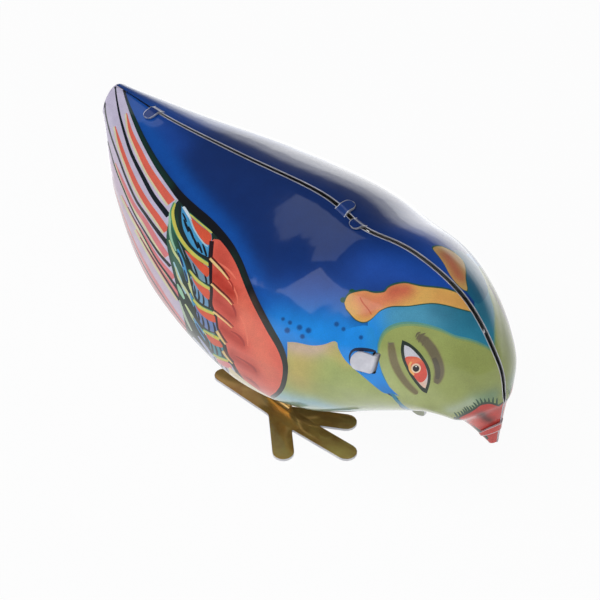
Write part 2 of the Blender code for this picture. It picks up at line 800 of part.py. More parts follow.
def winding_key():
    """Flat two-eared key on a sleeve, lying level at rest."""
    bore = WINDING_RADIUS + HOLE_ROOM
    outer = bore + KEY_SLEEVE_WALL
    ear_y = KEY_SLEEVE_LENGTH - KEY_EAR_RADIUS / 4
    profile = tube(outer, bore, 0, KEY_SLEEVE_LENGTH)
    sleeve = turned("winding_key", profile, at(WINDING, KEY_Y), closed=True)
    keep(sleeve, STEEL, 0.25, 1.0)
    for side, word in ((-1, "rear"), (1, "front")):
        root = (side * (bore + KEY_SHEET / 2), KEY_SLEEVE_LENGTH / 2)
        middle = (side * (outer + KEY_EAR_RADIUS - KEY_SHEET / 2), ear_y)
        outline = hull((root, KEY_SHEET / 4), (middle, KEY_EAR_RADIUS))
        loops = [outline, circle(middle, KEY_EAR_HOLE, 12)]
        ear = welded(sheet(f"key_ear_{word}", loops, KEY_SHEET, at(WINDING, KEY_Y), upright=False))
        combine(sleeve, as_tool(ear), "UNION")


def mainspring():
    """Spiral strip from the winding arbor out to its hook round the rear pillar."""
    pillar = Vector(PILLARS["rear"]) - Vector(WINDING)
    toward = math.degrees(math.atan2(pillar.y, pillar.x))
    wrap_radius = PILLAR_RADIUS + FACE_GAP + SPRING_STRIP / 2
    leave = toward - math.degrees(math.acos((SPRING_OUTER - wrap_radius) / pillar.length))
    count = SPRING_TURNS * SPRING_STEPS
    path = []
    for step in range(count + 1):
        share = step / count
        radius = SPRING_INNER + (SPRING_OUTER - SPRING_INNER) * share
        path.append(polar(radius, leave - 360 * SPRING_TURNS * (1 - share)))
    for step in range(9):
        path.append(polar(wrap_radius, leave + SPRING_WRAP * step / 8, pillar))
    points = [(x, y, z) for x, z in path for y in (SPRING_LOW, SPRING_HIGH)]
    faces = [(2 * step, 2 * step + 1, 2 * step + 3, 2 * step + 2) for step in range(len(path) - 1)]
    obj = mesh_object("mainspring", points, faces, at(WINDING))
    solidify = obj.modifiers.new("strip", "SOLIDIFY")
    solidify.thickness = SPRING_STRIP
    solidify.offset = 0
    keep(obj, SPRING_BLUE, 0.3, 1.0)


def second_group():
    """Second arbor, its pinion in the great wheel and its wheel."""
    body = INNER_FACE - END_SHAKE
    end = OUTER_FACE + RIVET_LENGTH / 3
    steps = ((PIVOT_RADIUS, body, end), (ARBOR_RADIUS, -body, body), (PIVOT_RADIUS, -end, -body))
    keep(turned("second_arbor", stepped(*steps), at(SECOND)), STEEL, 0.3, 1.0)
    half_tooth = 180 / PINION_TEETH
    low = (GREAT_LOW + GREAT_HIGH - PINION_LENGTH) / 2
    pinion("second_pinion", SECOND_ARBOR_ANGLE + 180 + half_tooth, SECOND, low, low + PINION_LENGTH)
    bore = ARBOR_RADIUS + HOLE_ROOM
    holes = crossing_holes(SECOND_TIP * 0.56, (0, 72, 144, 216, 288))
    wheel("second_wheel", SECOND_TEETH, CRANK_ARBOR_ANGLE, SECOND, SECOND_LOW, SECOND_HIGH, bore, holes, BRASS)


def crank_group():
    """Crank arbor with its pinion inside the plates, and the disc and pin outside the left one."""
    body = INNER_FACE - END_SHAKE
    steps = (
        (ARBOR_RADIUS, -body, CRANK_DISC_HIGH + FACE_GAP),
        (PIVOT_RADIUS, -OUTER_FACE - RIVET_LENGTH / 3, -body),
    )
    keep(turned("crank_arbor", stepped(*steps), at(CRANK)), STEEL, 0.3, 1.0)
    low = (SECOND_LOW + SECOND_HIGH - CRANK_PINION_LENGTH) / 2
    half_tooth = 180 / PINION_TEETH
    pinion("crank_pinion", CRANK_ARBOR_ANGLE + 180 + half_tooth, CRANK, low, low + CRANK_PINION_LENGTH)

    pin_at = crank_pin_place()
    loops = [circle((0, 0), CRANK_DISC_RADIUS, 24), circle((0, 0), ARBOR_RADIUS + HOLE_ROOM * 0.8)]
    loops.append(circle(pin_at, CRANK_PIN_RADIUS + HOLE_ROOM * 0.8, 12))
    middle = (CRANK_DISC_LOW + CRANK_DISC_HIGH) / 2
    keep(sheet("crank_disc", loops, WHEEL_THICKNESS, at(CRANK, middle)), STEEL, 0.3, 1.0)
    profile = stepped((CRANK_PIN_RADIUS, CRANK_DISC_LOW, CRANK_PIN_END))
    place = (CRANK[0] + pin_at[0], CRANK[1] + pin_at[1])
    keep(turned("crank_pin", profile, at(place)), STEEL, 0.3, 1.0)


def lever_line():
    """Distance from the leg axle to the crank arbor, and the lever's angle at rest."""
    reach = Vector(CRANK) - Vector(AXLE)
    return reach.length, math.degrees(math.atan2(reach.y, reach.x)) + LEVER_REST_ANGLE


def crank_pin_place():
    """Crank pin's place about its arbor, on the lever's line at rest."""
    reach, angle = lever_line()
    offset = reach * math.sin(math.radians(LEVER_REST_ANGLE))
    swing = math.degrees(math.asin(offset / CRANK_RADIUS))
    return polar(CRANK_RADIUS, angle - LEVER_REST_ANGLE + swing)


# Legs and lever

def toe_outline():
    """Outline of a foot: round-ended toes that meet in notches, seen from above."""
    toes = sorted(TOES)
    outline = []
    for index, (angle, length) in enumerate(toes):
        following = toes[(index + 1) % len(toes)][0]
        between = (following - angle) % 360 / 2
        for step in range(7):
            spread = -90 + 180 * step / 6
            tip = polar(length - TOE_HALF_WIDTH, angle)
            outline.append(polar(TOE_HALF_WIDTH, angle + spread, tip))
        notch = TOE_HALF_WIDTH / math.sin(math.radians(between))
        outline.append(polar(notch, angle + between))
    return outline


def leg(name, side):
    """Leg and foot stamped in one piece, the leg bent up from the foot's inner edge."""
    inner = abs(RIGHT_LEG_Y)
    outline = [(x, side * (FOOT_SPREAD - y)) for x, y in toe_outline()]
    foot = welded(sheet(name, [outline], SHEET, (0, 0, SHEET / 2), upright=False))
    to_axle = Vector(at(AXLE)) - foot.location
    foot.data.transform(Matrix.Translation(-to_axle))
    foot.location = at(AXLE)
    keep(foot, GOLD, 0.3, 1.0)
    eye = ((0, 0), LEG_EYE_RADIUS)
    ankle = SHEET + LEG_BEND - AXLE_HEIGHT
    strap = hull(eye, ((-LEG_FOOT_WIDTH / 2, ankle), 0), ((LEG_FOOT_WIDTH / 2, ankle), 0))
    loops = [strap, circle((0, 0), AXLE_RADIUS + HOLE_ROOM)]
    upright = sheet(f"{name}_strap", loops, SHEET, at(AXLE, side * inner))
    combine(foot, as_tool(welded(upright)), "UNION")
    bend = leg_bend(f"{name}_bend", side, inner)
    combine(foot, bend, "UNION")
    return foot


def leg_bend(name, side, inner):
    """Bent stretch between the flat foot and the upright leg."""
    centre_y = inner + SHEET / 2 + LEG_BEND
    middle_radius = LEG_BEND + SHEET / 2
    floor = SHEET / 2
    path = [(inner, SHEET + LEG_BEND + LEG_BEND), (inner, floor + middle_radius)]
    for degrees in (18, 36, 54, 72, 90):
        angle = math.radians(degrees)
        y = centre_y - middle_radius * math.cos(angle)
        path.append((y, floor + middle_radius * (1 - math.sin(angle))))
    path.append((FOOT_SPREAD, floor))
    rows = []
    for y, z in path:
        rows.append([Vector((AXLE_X + LEG_FOOT_WIDTH * share, side * y, z)) for share in (-0.47, 0.47)])
    return strip(name, rows, SHEET * 0.9)


def legs():
    """Both legs, the axle that joins them, and the slotted lever that the crank rocks."""
    leg("right_leg", -1)
    leg("left_leg", 1)
    reach, angle = lever_line()
    slot = CRANK_RADIUS + FACE_GAP
    slot_radius = CRANK_PIN_RADIUS + HOLE_ROOM
    near, far = polar(reach - slot, angle), polar(reach + slot, angle)
    outline = hull(((0, 0), LEVER_WIDTH / 2), (far, LEVER_WIDTH / 2))
    loops = [outline, hull((near, slot_radius), (far, slot_radius))]
    loops.append(circle((0, 0), AXLE_RADIUS + HOLE_ROOM * 0.8))
    lever_y = (LEVER_LOW + LEVER_HIGH) / 2
    keep(sheet("crank_lever", loops, LEVER_THICKNESS, at(AXLE, lever_y)), STEEL, 0.35, 1.0)

    spacer_low = abs(RIGHT_LEG_Y) + SHEET / 2 + FACE_GAP
    profile = tube(AXLE_HEAD_RADIUS, AXLE_RADIUS + HOLE_ROOM, spacer_low, LEVER_LOW - FACE_GAP)
    keep(turned("lever_spacer", profile, at(AXLE), closed=True), BRASS, 0.3, 1.0)

    right_head = RIGHT_LEG_Y - SHEET / 2 - FACE_GAP
    left_head = LEVER_HIGH + FACE_GAP
    steps = (
        (AXLE_HEAD_RADIUS, left_head, left_head + AXLE_HEAD_LENGTH),
        (AXLE_RADIUS, right_head, left_head),
        (AXLE_HEAD_RADIUS, right_head - AXLE_HEAD_LENGTH, right_head),
    )
    keep(turned("leg_axle", stepped(*steps), at(AXLE)), STEEL, 0.3, 1.0)


body_halves()
plate("right_movement_plate", -1)
plate("left_movement_plate", 1)
pillars()
winding_group()
second_group()
crank_group()
legs()
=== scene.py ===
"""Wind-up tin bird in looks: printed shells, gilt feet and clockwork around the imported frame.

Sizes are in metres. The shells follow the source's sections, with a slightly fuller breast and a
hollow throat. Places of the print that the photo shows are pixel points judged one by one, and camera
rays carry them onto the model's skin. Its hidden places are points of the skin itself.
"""
import json
import math

import bmesh
import bpy
import numpy as np
from mathutils import Matrix, Vector
from mathutils.bvhtree import BVHTree
from mathutils.geometry import barycentric_transform, delaunay_2d_cdt


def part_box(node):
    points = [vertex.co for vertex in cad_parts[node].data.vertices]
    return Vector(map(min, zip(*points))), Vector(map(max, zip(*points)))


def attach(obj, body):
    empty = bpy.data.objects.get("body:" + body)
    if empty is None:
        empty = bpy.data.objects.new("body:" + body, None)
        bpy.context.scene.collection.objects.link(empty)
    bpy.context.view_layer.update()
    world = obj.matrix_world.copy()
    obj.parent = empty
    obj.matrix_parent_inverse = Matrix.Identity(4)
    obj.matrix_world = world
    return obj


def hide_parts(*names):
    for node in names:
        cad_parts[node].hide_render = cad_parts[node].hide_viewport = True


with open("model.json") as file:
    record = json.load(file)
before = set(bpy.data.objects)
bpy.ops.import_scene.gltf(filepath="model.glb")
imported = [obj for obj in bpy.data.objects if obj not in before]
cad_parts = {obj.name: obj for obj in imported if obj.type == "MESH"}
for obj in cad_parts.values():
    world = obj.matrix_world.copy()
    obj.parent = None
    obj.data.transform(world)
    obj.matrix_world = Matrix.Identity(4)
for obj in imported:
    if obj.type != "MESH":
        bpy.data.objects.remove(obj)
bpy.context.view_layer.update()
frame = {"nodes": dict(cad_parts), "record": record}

# Camera, as the photo was taken
AZIMUTH = math.radians(46)
ELEVATION = math.radians(42)
DISTANCE = 0.550
PIXELS_PER_METRE = 5940
FRAME_PIXELS = 600
FEET_PIXEL = (322, 385.5)
SENSOR = 36
NEAREST_SHOWN = 0.01

# Place of the toy over the origin
TOY = Vector((0.0050, -0.0029, 0))

# Body shells
BODY_LENGTH = 0.0920
BODY_WIDTH = 0.0410
BODY_HEIGHT = 0.0362
BELLY_HEIGHT = 0.0066
TAIL_TO_FEET = 0.0508
WALL = 0.0004
# Width of the seam's gap at places along the body
GAP_PLACES = (0.2, 0.7, 3.0, 5.5, 7.0, 7.5)
GAPS = (0.00012, 0.00036, 0.00078, 0.00077, 0.00062, 0.00012)
# The back seam steps aside behind the middle tab: how far, where along the body and over what reach
STEP_ASIDE = 0.0018
STEP_PLACE = 3.58
STEP_REACH = 0.33
TAIL_ROUND = 0.0012
BEAK_ROUND = 0.0006
RIDGE_ROUNDNESS = 1.65
# Roundness of the lower side at places along the body: full at the breast, hollow at the throat
BELLY_PLACES = (2.2, 3.1, 3.6, 4.0, 4.4, 5.2, 5.9, 6.6, 8.0)
BELLY_ROUNDNESS = (2.35, 2.60, 2.62, 2.42, 2.12, 1.75, 1.50, 1.65, 2.2)
WIDEST_UP = 0.45

# Sections from tail to beak: back point along and up, belly point along and up, and width,
# as shares of the body's length, height and width
SECTIONS = np.array((
    (0.010, 0.81, 0.015, 0.60, 0.17),
    (0.150, 0.82, 0.125, 0.33, 0.53),
    (0.340, 0.89, 0.295, 0.11, 0.87),
    (0.550, 0.98, 0.505, 0.00, 1.00),
    (0.750, 1.00, 0.670, 0.04, 0.90),
    (0.890, 0.93, 0.780, 0.15, 0.65),
    (0.975, 0.70, 0.870, 0.28, 0.42),
    (0.994, 0.52, 0.905, 0.30, 0.26),
    (0.992, 0.44, 0.925, 0.28, 0.15),
    (0.984, 0.24, 0.968, 0.22, 0.045),
))
LAST = len(SECTIONS) - 1
ROWS = np.vstack((2 * SECTIONS[0] - SECTIONS[1], SECTIONS, 2 * SECTIONS[-1] - SECTIONS[-2]))

# Steps and limits in place and turn at which the skin's direction is taken
NORMAL_STEP = 0.02
NORMAL_FROM_SEAM = 0.04
NORMAL_FARTHEST = 0.97
TINY = 1e-12


# Skin of the body

def between(a, b, c, d, part):
    """Point of the smooth curve through four rows, part of the way from the second to the third."""
    bend = (2 * a - 5 * b + 4 * c - d) * part**2 + (3 * b - a - 3 * c + d) * part**3
    return 0.5 * (2 * b + (c - a) * part + bend)


def unit(rows):
    """Rows of directions at length one."""
    return rows / np.maximum(np.linalg.norm(rows, axis=-1), TINY)[..., None]


def sections_at(place):
    """Back points, belly points (along, up) and half widths at places along the body."""
    index = np.minimum(place.astype(int), LAST - 1)
    part = (place - index)[:, None]
    row = between(*(ROWS[index + step] for step in range(4)), part)
    scale = np.array((BODY_LENGTH, BODY_HEIGHT))
    shift = np.array((-TAIL_TO_FEET, BELLY_HEIGHT))
    return row[:, 0:2] * scale + shift, row[:, 2:4] * scale + shift, row[:, 4] * BODY_WIDTH / 2


def end_direction(place, inward):
    """Direction in which an end's dome points, in the side view."""
    back, belly, _ = sections_at(np.array((place, place + inward), dtype=float))
    middle = belly + (back - belly) * WIDEST_UP
    way = middle[0] - middle[1]
    return way / np.linalg.norm(way)


TAIL_WAY = end_direction(0, 0.2)
BEAK_WAY = end_direction(LAST, -0.2)


def gap_at(place):
    """Width of the gap between the halves."""
    return np.interp(place, GAP_PLACES, GAPS)


def step_aside(place):
    """How far the ridge leans to the right."""
    return STEP_ASIDE * np.exp(-(((place - STEP_PLACE) / STEP_REACH) ** 2))


def skin(place, turn, side=-1):
    """Skin points: place runs from -1 to LAST + 1 with the end domes, turn from back to belly."""
    place, turn = np.broadcast_arrays(np.asarray(place, float), np.asarray(turn, float))
    back, belly, width = sections_at(np.clip(place, 0, LAST))
    middle = belly + (back - belly) * WIDEST_UP
    upper = turn <= math.pi / 2
    power = np.where(upper, 2 / RIDGE_ROUNDNESS, 2 / np.interp(place, BELLY_PLACES, BELLY_ROUNDNESS))
    reach = np.abs(np.cos(turn)) ** power
    flat = middle + (np.where(upper[:, None], back, belly) - middle) * reach[:, None]
    across = width * np.maximum(np.sin(turn), 0) ** power
    over = np.clip(np.maximum(-place, place - LAST), 0, 1) * math.pi / 2
    length = np.where(place < 0, TAIL_ROUND, BEAK_ROUND)
    way = np.where((place < 0)[:, None], TAIL_WAY, BEAK_WAY)
    close = np.cos(over)
    flat = middle + (flat - middle) * close[:, None] + way * (length * np.sin(over))[:, None]
    across = side * (gap_at(place) / 2 + across * close)
    across -= np.where(upper, step_aside(place) * np.cos(turn) ** 2, 0)
    return np.column_stack((flat[:, 0] + TOY.x, across + TOY.y, flat[:, 1]))


def skin_normals(place, turn, side=-1):
    """Outward directions of the skin."""
    step = NORMAL_STEP
    turn = np.clip(turn, NORMAL_FROM_SEAM, math.pi - NORMAL_FROM_SEAM)
    place = np.clip(place, -NORMAL_FARTHEST, LAST + NORMAL_FARTHEST)
    along = skin(place + step, turn, side) - skin(place - step, turn, side)
    around = skin(place, turn + step, side) - skin(place, turn - step, side)
    return unit(np.cross(along, around) * side)


# Camera

def camera_axes():
    """Directions toward the camera, to its right and up."""
    toward = Vector((
        math.sin(AZIMUTH) * math.cos(ELEVATION),
        -math.cos(AZIMUTH) * math.cos(ELEVATION),
        math.sin(ELEVATION),
    ))
    right = Vector((math.cos(AZIMUTH), math.sin(AZIMUTH), 0))
    return toward, right, toward.cross(right)


TOWARD, RIGHT, UP = camera_axes()
FOCAL_PIXELS = PIXELS_PER_METRE * DISTANCE
MIDDLE = FRAME_PIXELS / 2
FEET = TOY - RIGHT * ((FEET_PIXEL[0] - MIDDLE) / PIXELS_PER_METRE)
AIM = FEET - UP * ((MIDDLE - FEET_PIXEL[1]) / PIXELS_PER_METRE)
EYE_POINT = AIM + TOWARD * DISTANCE


def placed(name, data):
    """A new object in the scene."""
    obj = bpy.data.objects.new(name, data)
    bpy.context.scene.collection.objects.link(obj)
    return obj


def make_camera():
    """Camera at the photo's angle."""
    data = bpy.data.cameras.new("camera")
    data.sensor_width = SENSOR
    data.lens = SENSOR * FOCAL_PIXELS / FRAME_PIXELS
    data.clip_start = NEAREST_SHOWN
    camera = placed("camera", data)
    axes = Matrix((RIGHT, UP, TOWARD)).transposed()
    camera.matrix_world = Matrix.Translation(EYE_POINT) @ axes.to_4x4()
    bpy.context.scene.camera = camera


# Carrying points onto the skin

TREE_PLACES = 221
TREE_TURNS = 81
# A ray that misses the skin moves by this many pixels at a time toward a pixel of the body
BODY_PIXEL = (300, 300)
PIXEL_STEP = 0.5
MOST_STEPS = 80


def skin_tree():
    """Search tree of the right half's skin, with each corner's place and turn."""
    places = np.linspace(-1, LAST + 1, TREE_PLACES)
    turns = np.linspace(0, math.pi, TREE_TURNS)
    grid_place, grid_turn = (axis.ravel() for axis in np.meshgrid(places, turns, indexing="ij"))
    points = skin(grid_place, grid_turn)
    row = len(turns)
    faces = []
    for i in range(len(places) - 1):
        for j in range(row - 1):
            a = i * row + j
            faces.append((a, a + 1, a + row + 1))
            faces.append((a, a + row + 1, a + row))
    corners = [Vector(point) for point in points]
    tree = BVHTree.FromPolygons(corners, faces)
    return tree, corners, faces, grid_place, grid_turn


TREE, TREE_POINTS, TREE_FACES, TREE_PLACE, TREE_TURN = skin_tree()


def skin_place_of(hit, index):
    """Place and turn of a point on the search tree's face."""
    face = TREE_FACES[index]
    flat = [Vector((TREE_PLACE[corner], TREE_TURN[corner], 0)) for corner in face]
    found = barycentric_transform(hit, *(TREE_POINTS[corner] for corner in face), *flat)
    return found.x, min(max(found.y, 0), math.pi)


def carried(pixels, side=-1):
    """Places and turns of a half's skin that camera rays through pixels meet."""
    found = []
    mirror = Vector((1, -side, 1))
    eye = Vector((EYE_POINT.x, TOY.y - side * (EYE_POINT.y - TOY.y), EYE_POINT.z))
    for u, v in pixels:
        for _ in range(MOST_STEPS):
            ray = (RIGHT * (u - MIDDLE) + UP * (MIDDLE - v) - TOWARD * FOCAL_PIXELS) * mirror
            hit, _, index, _ = TREE.ray_cast(eye, ray.normalized())
            if hit is not None and skin_faces(index, -ray):
                found.append(skin_place_of(hit, index))
                break
            way = math.hypot(BODY_PIXEL[0] - u, BODY_PIXEL[1] - v)
            u += (BODY_PIXEL[0] - u) / way * PIXEL_STEP
            v += (BODY_PIXEL[1] - v) / way * PIXEL_STEP
    return found


def skin_faces(index, way):
    """Whether a face of the search tree shows its outer side to a direction."""
    a, b, c = (TREE_POINTS[corner] for corner in TREE_FACES[index])
    return (b - a).cross(c - a).dot(way) > 0


# Paint

def shown(red, green, blue):
    """Linear colour from the red, green and blue of a screen."""
    levels = []
    for level in (red, green, blue):
        level /= 255
        levels.append(level / 12.92 if level < 0.04 else ((level + 0.055) / 1.055) ** 2.4)
    return tuple(levels)


NAVY = shown(14, 48, 110)
ROYAL = shown(30, 84, 180)
BORDER_BLUE = shown(14, 82, 168)
AZURE = shown(34, 144, 232)
TEAL = shown(48, 132, 160)
LAVENDER = shown(206, 197, 218)
INK = shown(20, 28, 34)
OUTLINE = shown(34, 44, 42)
CORAL = shown(234, 106, 86)
CORAL_SHADE = shown(188, 56, 42)
CORAL_LIGHT = shown(238, 124, 98)
CREAM = shown(236, 218, 168)
RIM_YELLOW = shown(214, 204, 92)
RIM_GREEN = shown(78, 160, 110)
ORANGE = shown(226, 92, 62)
SKY = shown(74, 156, 204)
PALE_SKY = shown(168, 208, 218)
DASH = shown(20, 40, 84)
OLIVE = shown(158, 168, 98)
OLIVE_LIGHT = shown(182, 192, 128)
SALMON = shown(226, 132, 92)
SALMON_DARK = shown(206, 100, 74)
GOLDEN = shown(226, 176, 92)
BREAST = shown(166, 180, 106)
BREAST_TAN = shown(196, 178, 102)
BREAST_PINK = shown(208, 180, 158)
WATER = shown(150, 194, 198)
BEAK_RED = shown(208, 74, 66)
EYE_WHITE = shown(206, 206, 212)
CRESCENT = shown(126, 116, 84)
TAB_OLIVE = shown(170, 172, 142)
BARE_TIN = shown(206, 206, 210)
STRIPE_PINK = shown(226, 124, 128)
# How metallic a tab's scraped edge is
BARE_SHARE = 0.6

# Printed shapes, each over those before it: outline in place and turn, colour, sprays and side
LAYERS = []
# Scale of place and turn at which the skin's grid is about even
METRIC = np.array((11.0, 35 / math.pi))


def smooth_line(points, closed=False, per=4):
    """Smooth curve through points, which may carry widths. A repeated point makes a corner."""
    rows = [np.array(point, dtype=float) for point in points]
    count = len(rows)
    dense = []
    spans = count if closed else count - 1
    for index in range(spans):
        if closed:
            a, b, c, d = (rows[(index + step) % count] for step in (-1, 0, 1, 2))
        else:
            b, c = rows[index], rows[index + 1]
            a = rows[index - 1] if index else 2 * b - c
            d = rows[index + 2] if index + 2 < count else 2 * c - b
        if np.allclose(b, c):
            continue
        for step in range(per):
            dense.append(between(a, b, c, d, step / per))
    if not closed:
        dense.append(rows[-1])
    return dense


def ribbon(points):
    """Outline of a stroke through points of (u, v, width)."""
    dense = np.array(smooth_line(points))
    way = unit(np.gradient(dense[:, :2], axis=0))
    out = np.column_stack((-way[:, 1], way[:, 0])) * dense[:, 2:3] / 2
    return [*(dense[:, :2] + out), *(dense[:, :2] - out)[::-1]]


def circle(centre, radius, steps=24):
    """Points around a circle."""
    angles = np.linspace(0, math.tau, steps + 1)[:-1]
    return [(centre[0] + radius * math.cos(a), centre[1] + radius * math.sin(a)) for a in angles]


def curved(pixels, per=3):
    """Skin points of a smooth open line through pixels."""
    return carried(smooth_line(pixels, per=per))


def moved(points, right, down):
    """Pixel points moved to the right and down."""
    return [(u + right, v + down) for u, v in points]


def add_layer(places, colour, sprays=(), side=0):
    """A printed shape of the skin over those before it, on both halves or one side's only."""
    LAYERS.append((np.array(places), colour, list(sprays), side))


def fill(colour, *pixels, sprays=(), hidden=()):
    """Printed shape inside pixel points, closed through hidden skin points where it goes on."""
    dense = smooth_line(pixels, closed=not hidden, per=3)
    add_layer(carried(dense) + list(hidden), colour, sprays)


def left_fill(colour, pixels, sprays=()):
    """Printed shape inside pixel points, on the left half alone."""
    add_layer(carried(smooth_line(pixels, closed=True, per=3), 1), colour, sprays, 1)


def stroke(colour, *points, sprays=(), side=0):
    """Printed line through pixel points of (u, v, width)."""
    add_layer(carried(ribbon(points)), colour, sprays, side)


def skin_stroke(colour, *points, side=0):
    """Printed line through skin points of (place, turn, width in turn)."""
    line = ribbon([(place * METRIC[0], turn * METRIC[1], width) for place, turn, width in points])
    add_layer(line / METRIC, colour, side=side)


def spray(colour, radius, strength, *pixels, side=-1):
    """Airbrushed spot, or line through pixels: its points on the skin, radius and strength."""
    return skin_spray(colour, radius, strength, *carried(pixels, side))


def skin_spray(colour, radius, strength, *places):
    """Airbrushed spot or line through skin points."""
    rows = np.array(places, dtype=float)
    return skin(rows[:, 0], rows[:, 1]), colour, radius, strength


def sprayed(points, colour, sprays):
    """Colours of points after the sprays of their layer."""
    colours = np.tile(np.array(colour), (len(points), 1))
    for path, tint, radius, strength in sprays:
        near = np.full(len(points), np.inf)
        starts, ends = (path, path) if len(path) == 1 else (path[:-1], path[1:])
        for start, end in zip(starts, ends):
            way = end - start
            length = max(float(way @ way), TINY)
            share = np.clip((points - start) @ way / length, 0, 1)
            near = np.minimum(near, np.linalg.norm(points - start - share[:, None] * way, axis=1))
        part = (strength * np.exp(-((near / radius) ** 2)))[:, None]
        colours = colours * (1 - part) + np.array(tint) * part
    return colours


# Print of the right half, which the left half mirrors

def print_body():
    """Blue back, azure front and the pale belly."""
    add_layer([(-1, 0), (LAST + 1, 0), (LAST + 1, math.pi), (-1, math.pi)], NAVY, [
        spray(ROYAL, 0.0034, 0.6, (146, 106), (160, 122), (172, 145)),
        spray(
            BORDER_BLUE, 0.0019, 0.95, (134, 100), (150, 135), (185, 185), (232, 238), (258, 282),
            (276, 318),
        ),
        spray(ROYAL, 0.0040, 0.75, (372, 268), (410, 272), (450, 284)),
        spray(ROYAL, 0.0050, 0.6, (290, 302), (330, 304)),
        spray(AZURE, 0.0042, 1.0, (282, 330), (310, 334), (335, 334), (352, 345)),
        skin_spray(WATER, 0.0080, 1.0, (3.6, 2.9), (5.4, 2.9)),
        skin_spray(AZURE, 0.0060, 0.7, (2.9, 2.9), (3.2, 2.8)),
    ])


def print_breast():
    """Olive breast between the wing and the head, paling into the belly."""
    fill(
        BREAST, (286.6, 377), (287.4, 355), (287.4, 342), (287.4, 342), (296, 342.4), (312, 345.6),
        (324.3, 344.4), (332.5, 341.4), (336.6, 342.2), (341, 348.4), (347.6, 359), (356, 369),
        (369.5, 381), (386, 393), (398, 400),
        sprays=(
            spray(BREAST_TAN, 0.0034, 0.95, (300, 358), (296, 376)),
            spray(BREAST_PINK, 0.0014, 0.9, (292, 346), (310, 349), (330, 345)),
            spray(BREAST_TAN, 0.0012, 0.7, (332, 350), (346, 362)),
            spray(OLIVE_LIGHT, 0.0030, 0.6, (350, 392), (384, 400)),
            spray(WATER, 0.0022, 1.0, (278, 396), (300, 402), (316, 404), (345, 410)),
            skin_spray(WATER, 0.0050, 1.0, (3.8, 2.45), (4.6, 2.55), (5.2, 2.6)),
        ),
        hidden=((5.45, 1.9), (5.6, 2.3), (5.3, 2.62), (4.6, 2.72), (3.9, 2.66), (3.55, 2.45), (3.62, 2.1)),
    )


def print_head():
    """Teal head with the olive face and the band of azure behind it."""
    fill(
        TEAL, (376, 345), (368, 326), (371, 318), (386, 308), (409, 306), (434, 304), (455.5, 307),
        (476, 312),
        sprays=(
            spray(AZURE, 0.0030, 0.95, (372, 330), (378, 318)),
            # painted highlight: a lighter teal streak along the crown, standing for a soft reflection
            spray(shown(84, 160, 190), 0.0026, 0.8, (395, 316), (430, 316)),
            spray(shown(40, 104, 128), 0.0020, 0.6, (440, 310), (470, 318)),
        ),
        hidden=(
            (5.2, 0), (LAST + 1, 0), (LAST + 1, math.pi), (6.6, math.pi), (6.2, 2.6), (5.7, 2.3),
            (5.5, 1.9),
            *carried(((392, 396), (384, 386), (379, 366))),
        ),
    )
    edge = [
        (380, 366), (377, 352), (379.4, 338), (386, 328), (398, 322.6), (412, 321.6), (427, 324),
        (441, 328.4), (455, 335), (470, 338.6), (482, 343), (494, 350),
    ]
    rest = (
        (6.1, 0), (LAST + 1, 0), (LAST + 1, math.pi), (6.7, math.pi), (6.3, 2.6), (5.8, 2.3), (5.6, 1.9),
    )
    below = ((397, 397), (389, 386))
    for shift, colour in ((0, shown(96, 152, 136)), (2.2, shown(128, 162, 114)), (4.4, OLIVE)):
        sprays = (
            spray(OLIVE_LIGHT, 0.0022, 0.8, (384, 372), (392, 388), (412, 398)),
            spray(OLIVE_LIGHT, 0.0016, 0.5, (430, 392), (448, 408)),
            spray(shown(142, 152, 84), 0.0030, 0.7, (462, 352), (474, 380)),
            spray(shown(120, 150, 120), 0.0016, 0.8, (478, 400), (492, 396)),
            spray(shown(186, 200, 170), 0.0012, 0.8, (452, 410), (470, 403)),
        ) if shift else ()
        fill(colour, *moved(edge, shift * 0.4, shift), sprays=sprays, hidden=(*rest, *carried(below)))
    fill(
        AZURE, (337.4, 343), (343, 357), (352.5, 367.5), (364.3, 377.4), (372.7, 384.6), (384, 393),
        (392, 393.4), (399.4, 396.4), (399.4, 396.4), (394, 391.4), (388, 385), (382.5, 375.4), (380, 366),
        (377.4, 354), (377, 344), (371, 326), (345, 330),
        sprays=(
            spray(shown(46, 146, 214), 0.0014, 0.8, (372, 332), (374, 345)),
            spray(shown(30, 116, 190), 0.0012, 0.6, (384, 390), (392, 393)),
        ),
    )
    dots = (
        (290, 322.6, 2.0), (287.3, 330.4, 2.6), (299.6, 327.4, 2.6), (308.5, 330.4, 2.6),
        (302.4, 336.4, 2.2), (336.6, 324, 2.4), (343.5, 329, 2.0), (361, 337.4, 2.0), (283, 319, 1.8),
    )
    for u, v, size in dots:
        for part, colour in ((1.35, shown(34, 118, 200)), (0.9, shown(26, 86, 150))):
            add_layer(carried(circle((u, v), size * part, 8)), colour)


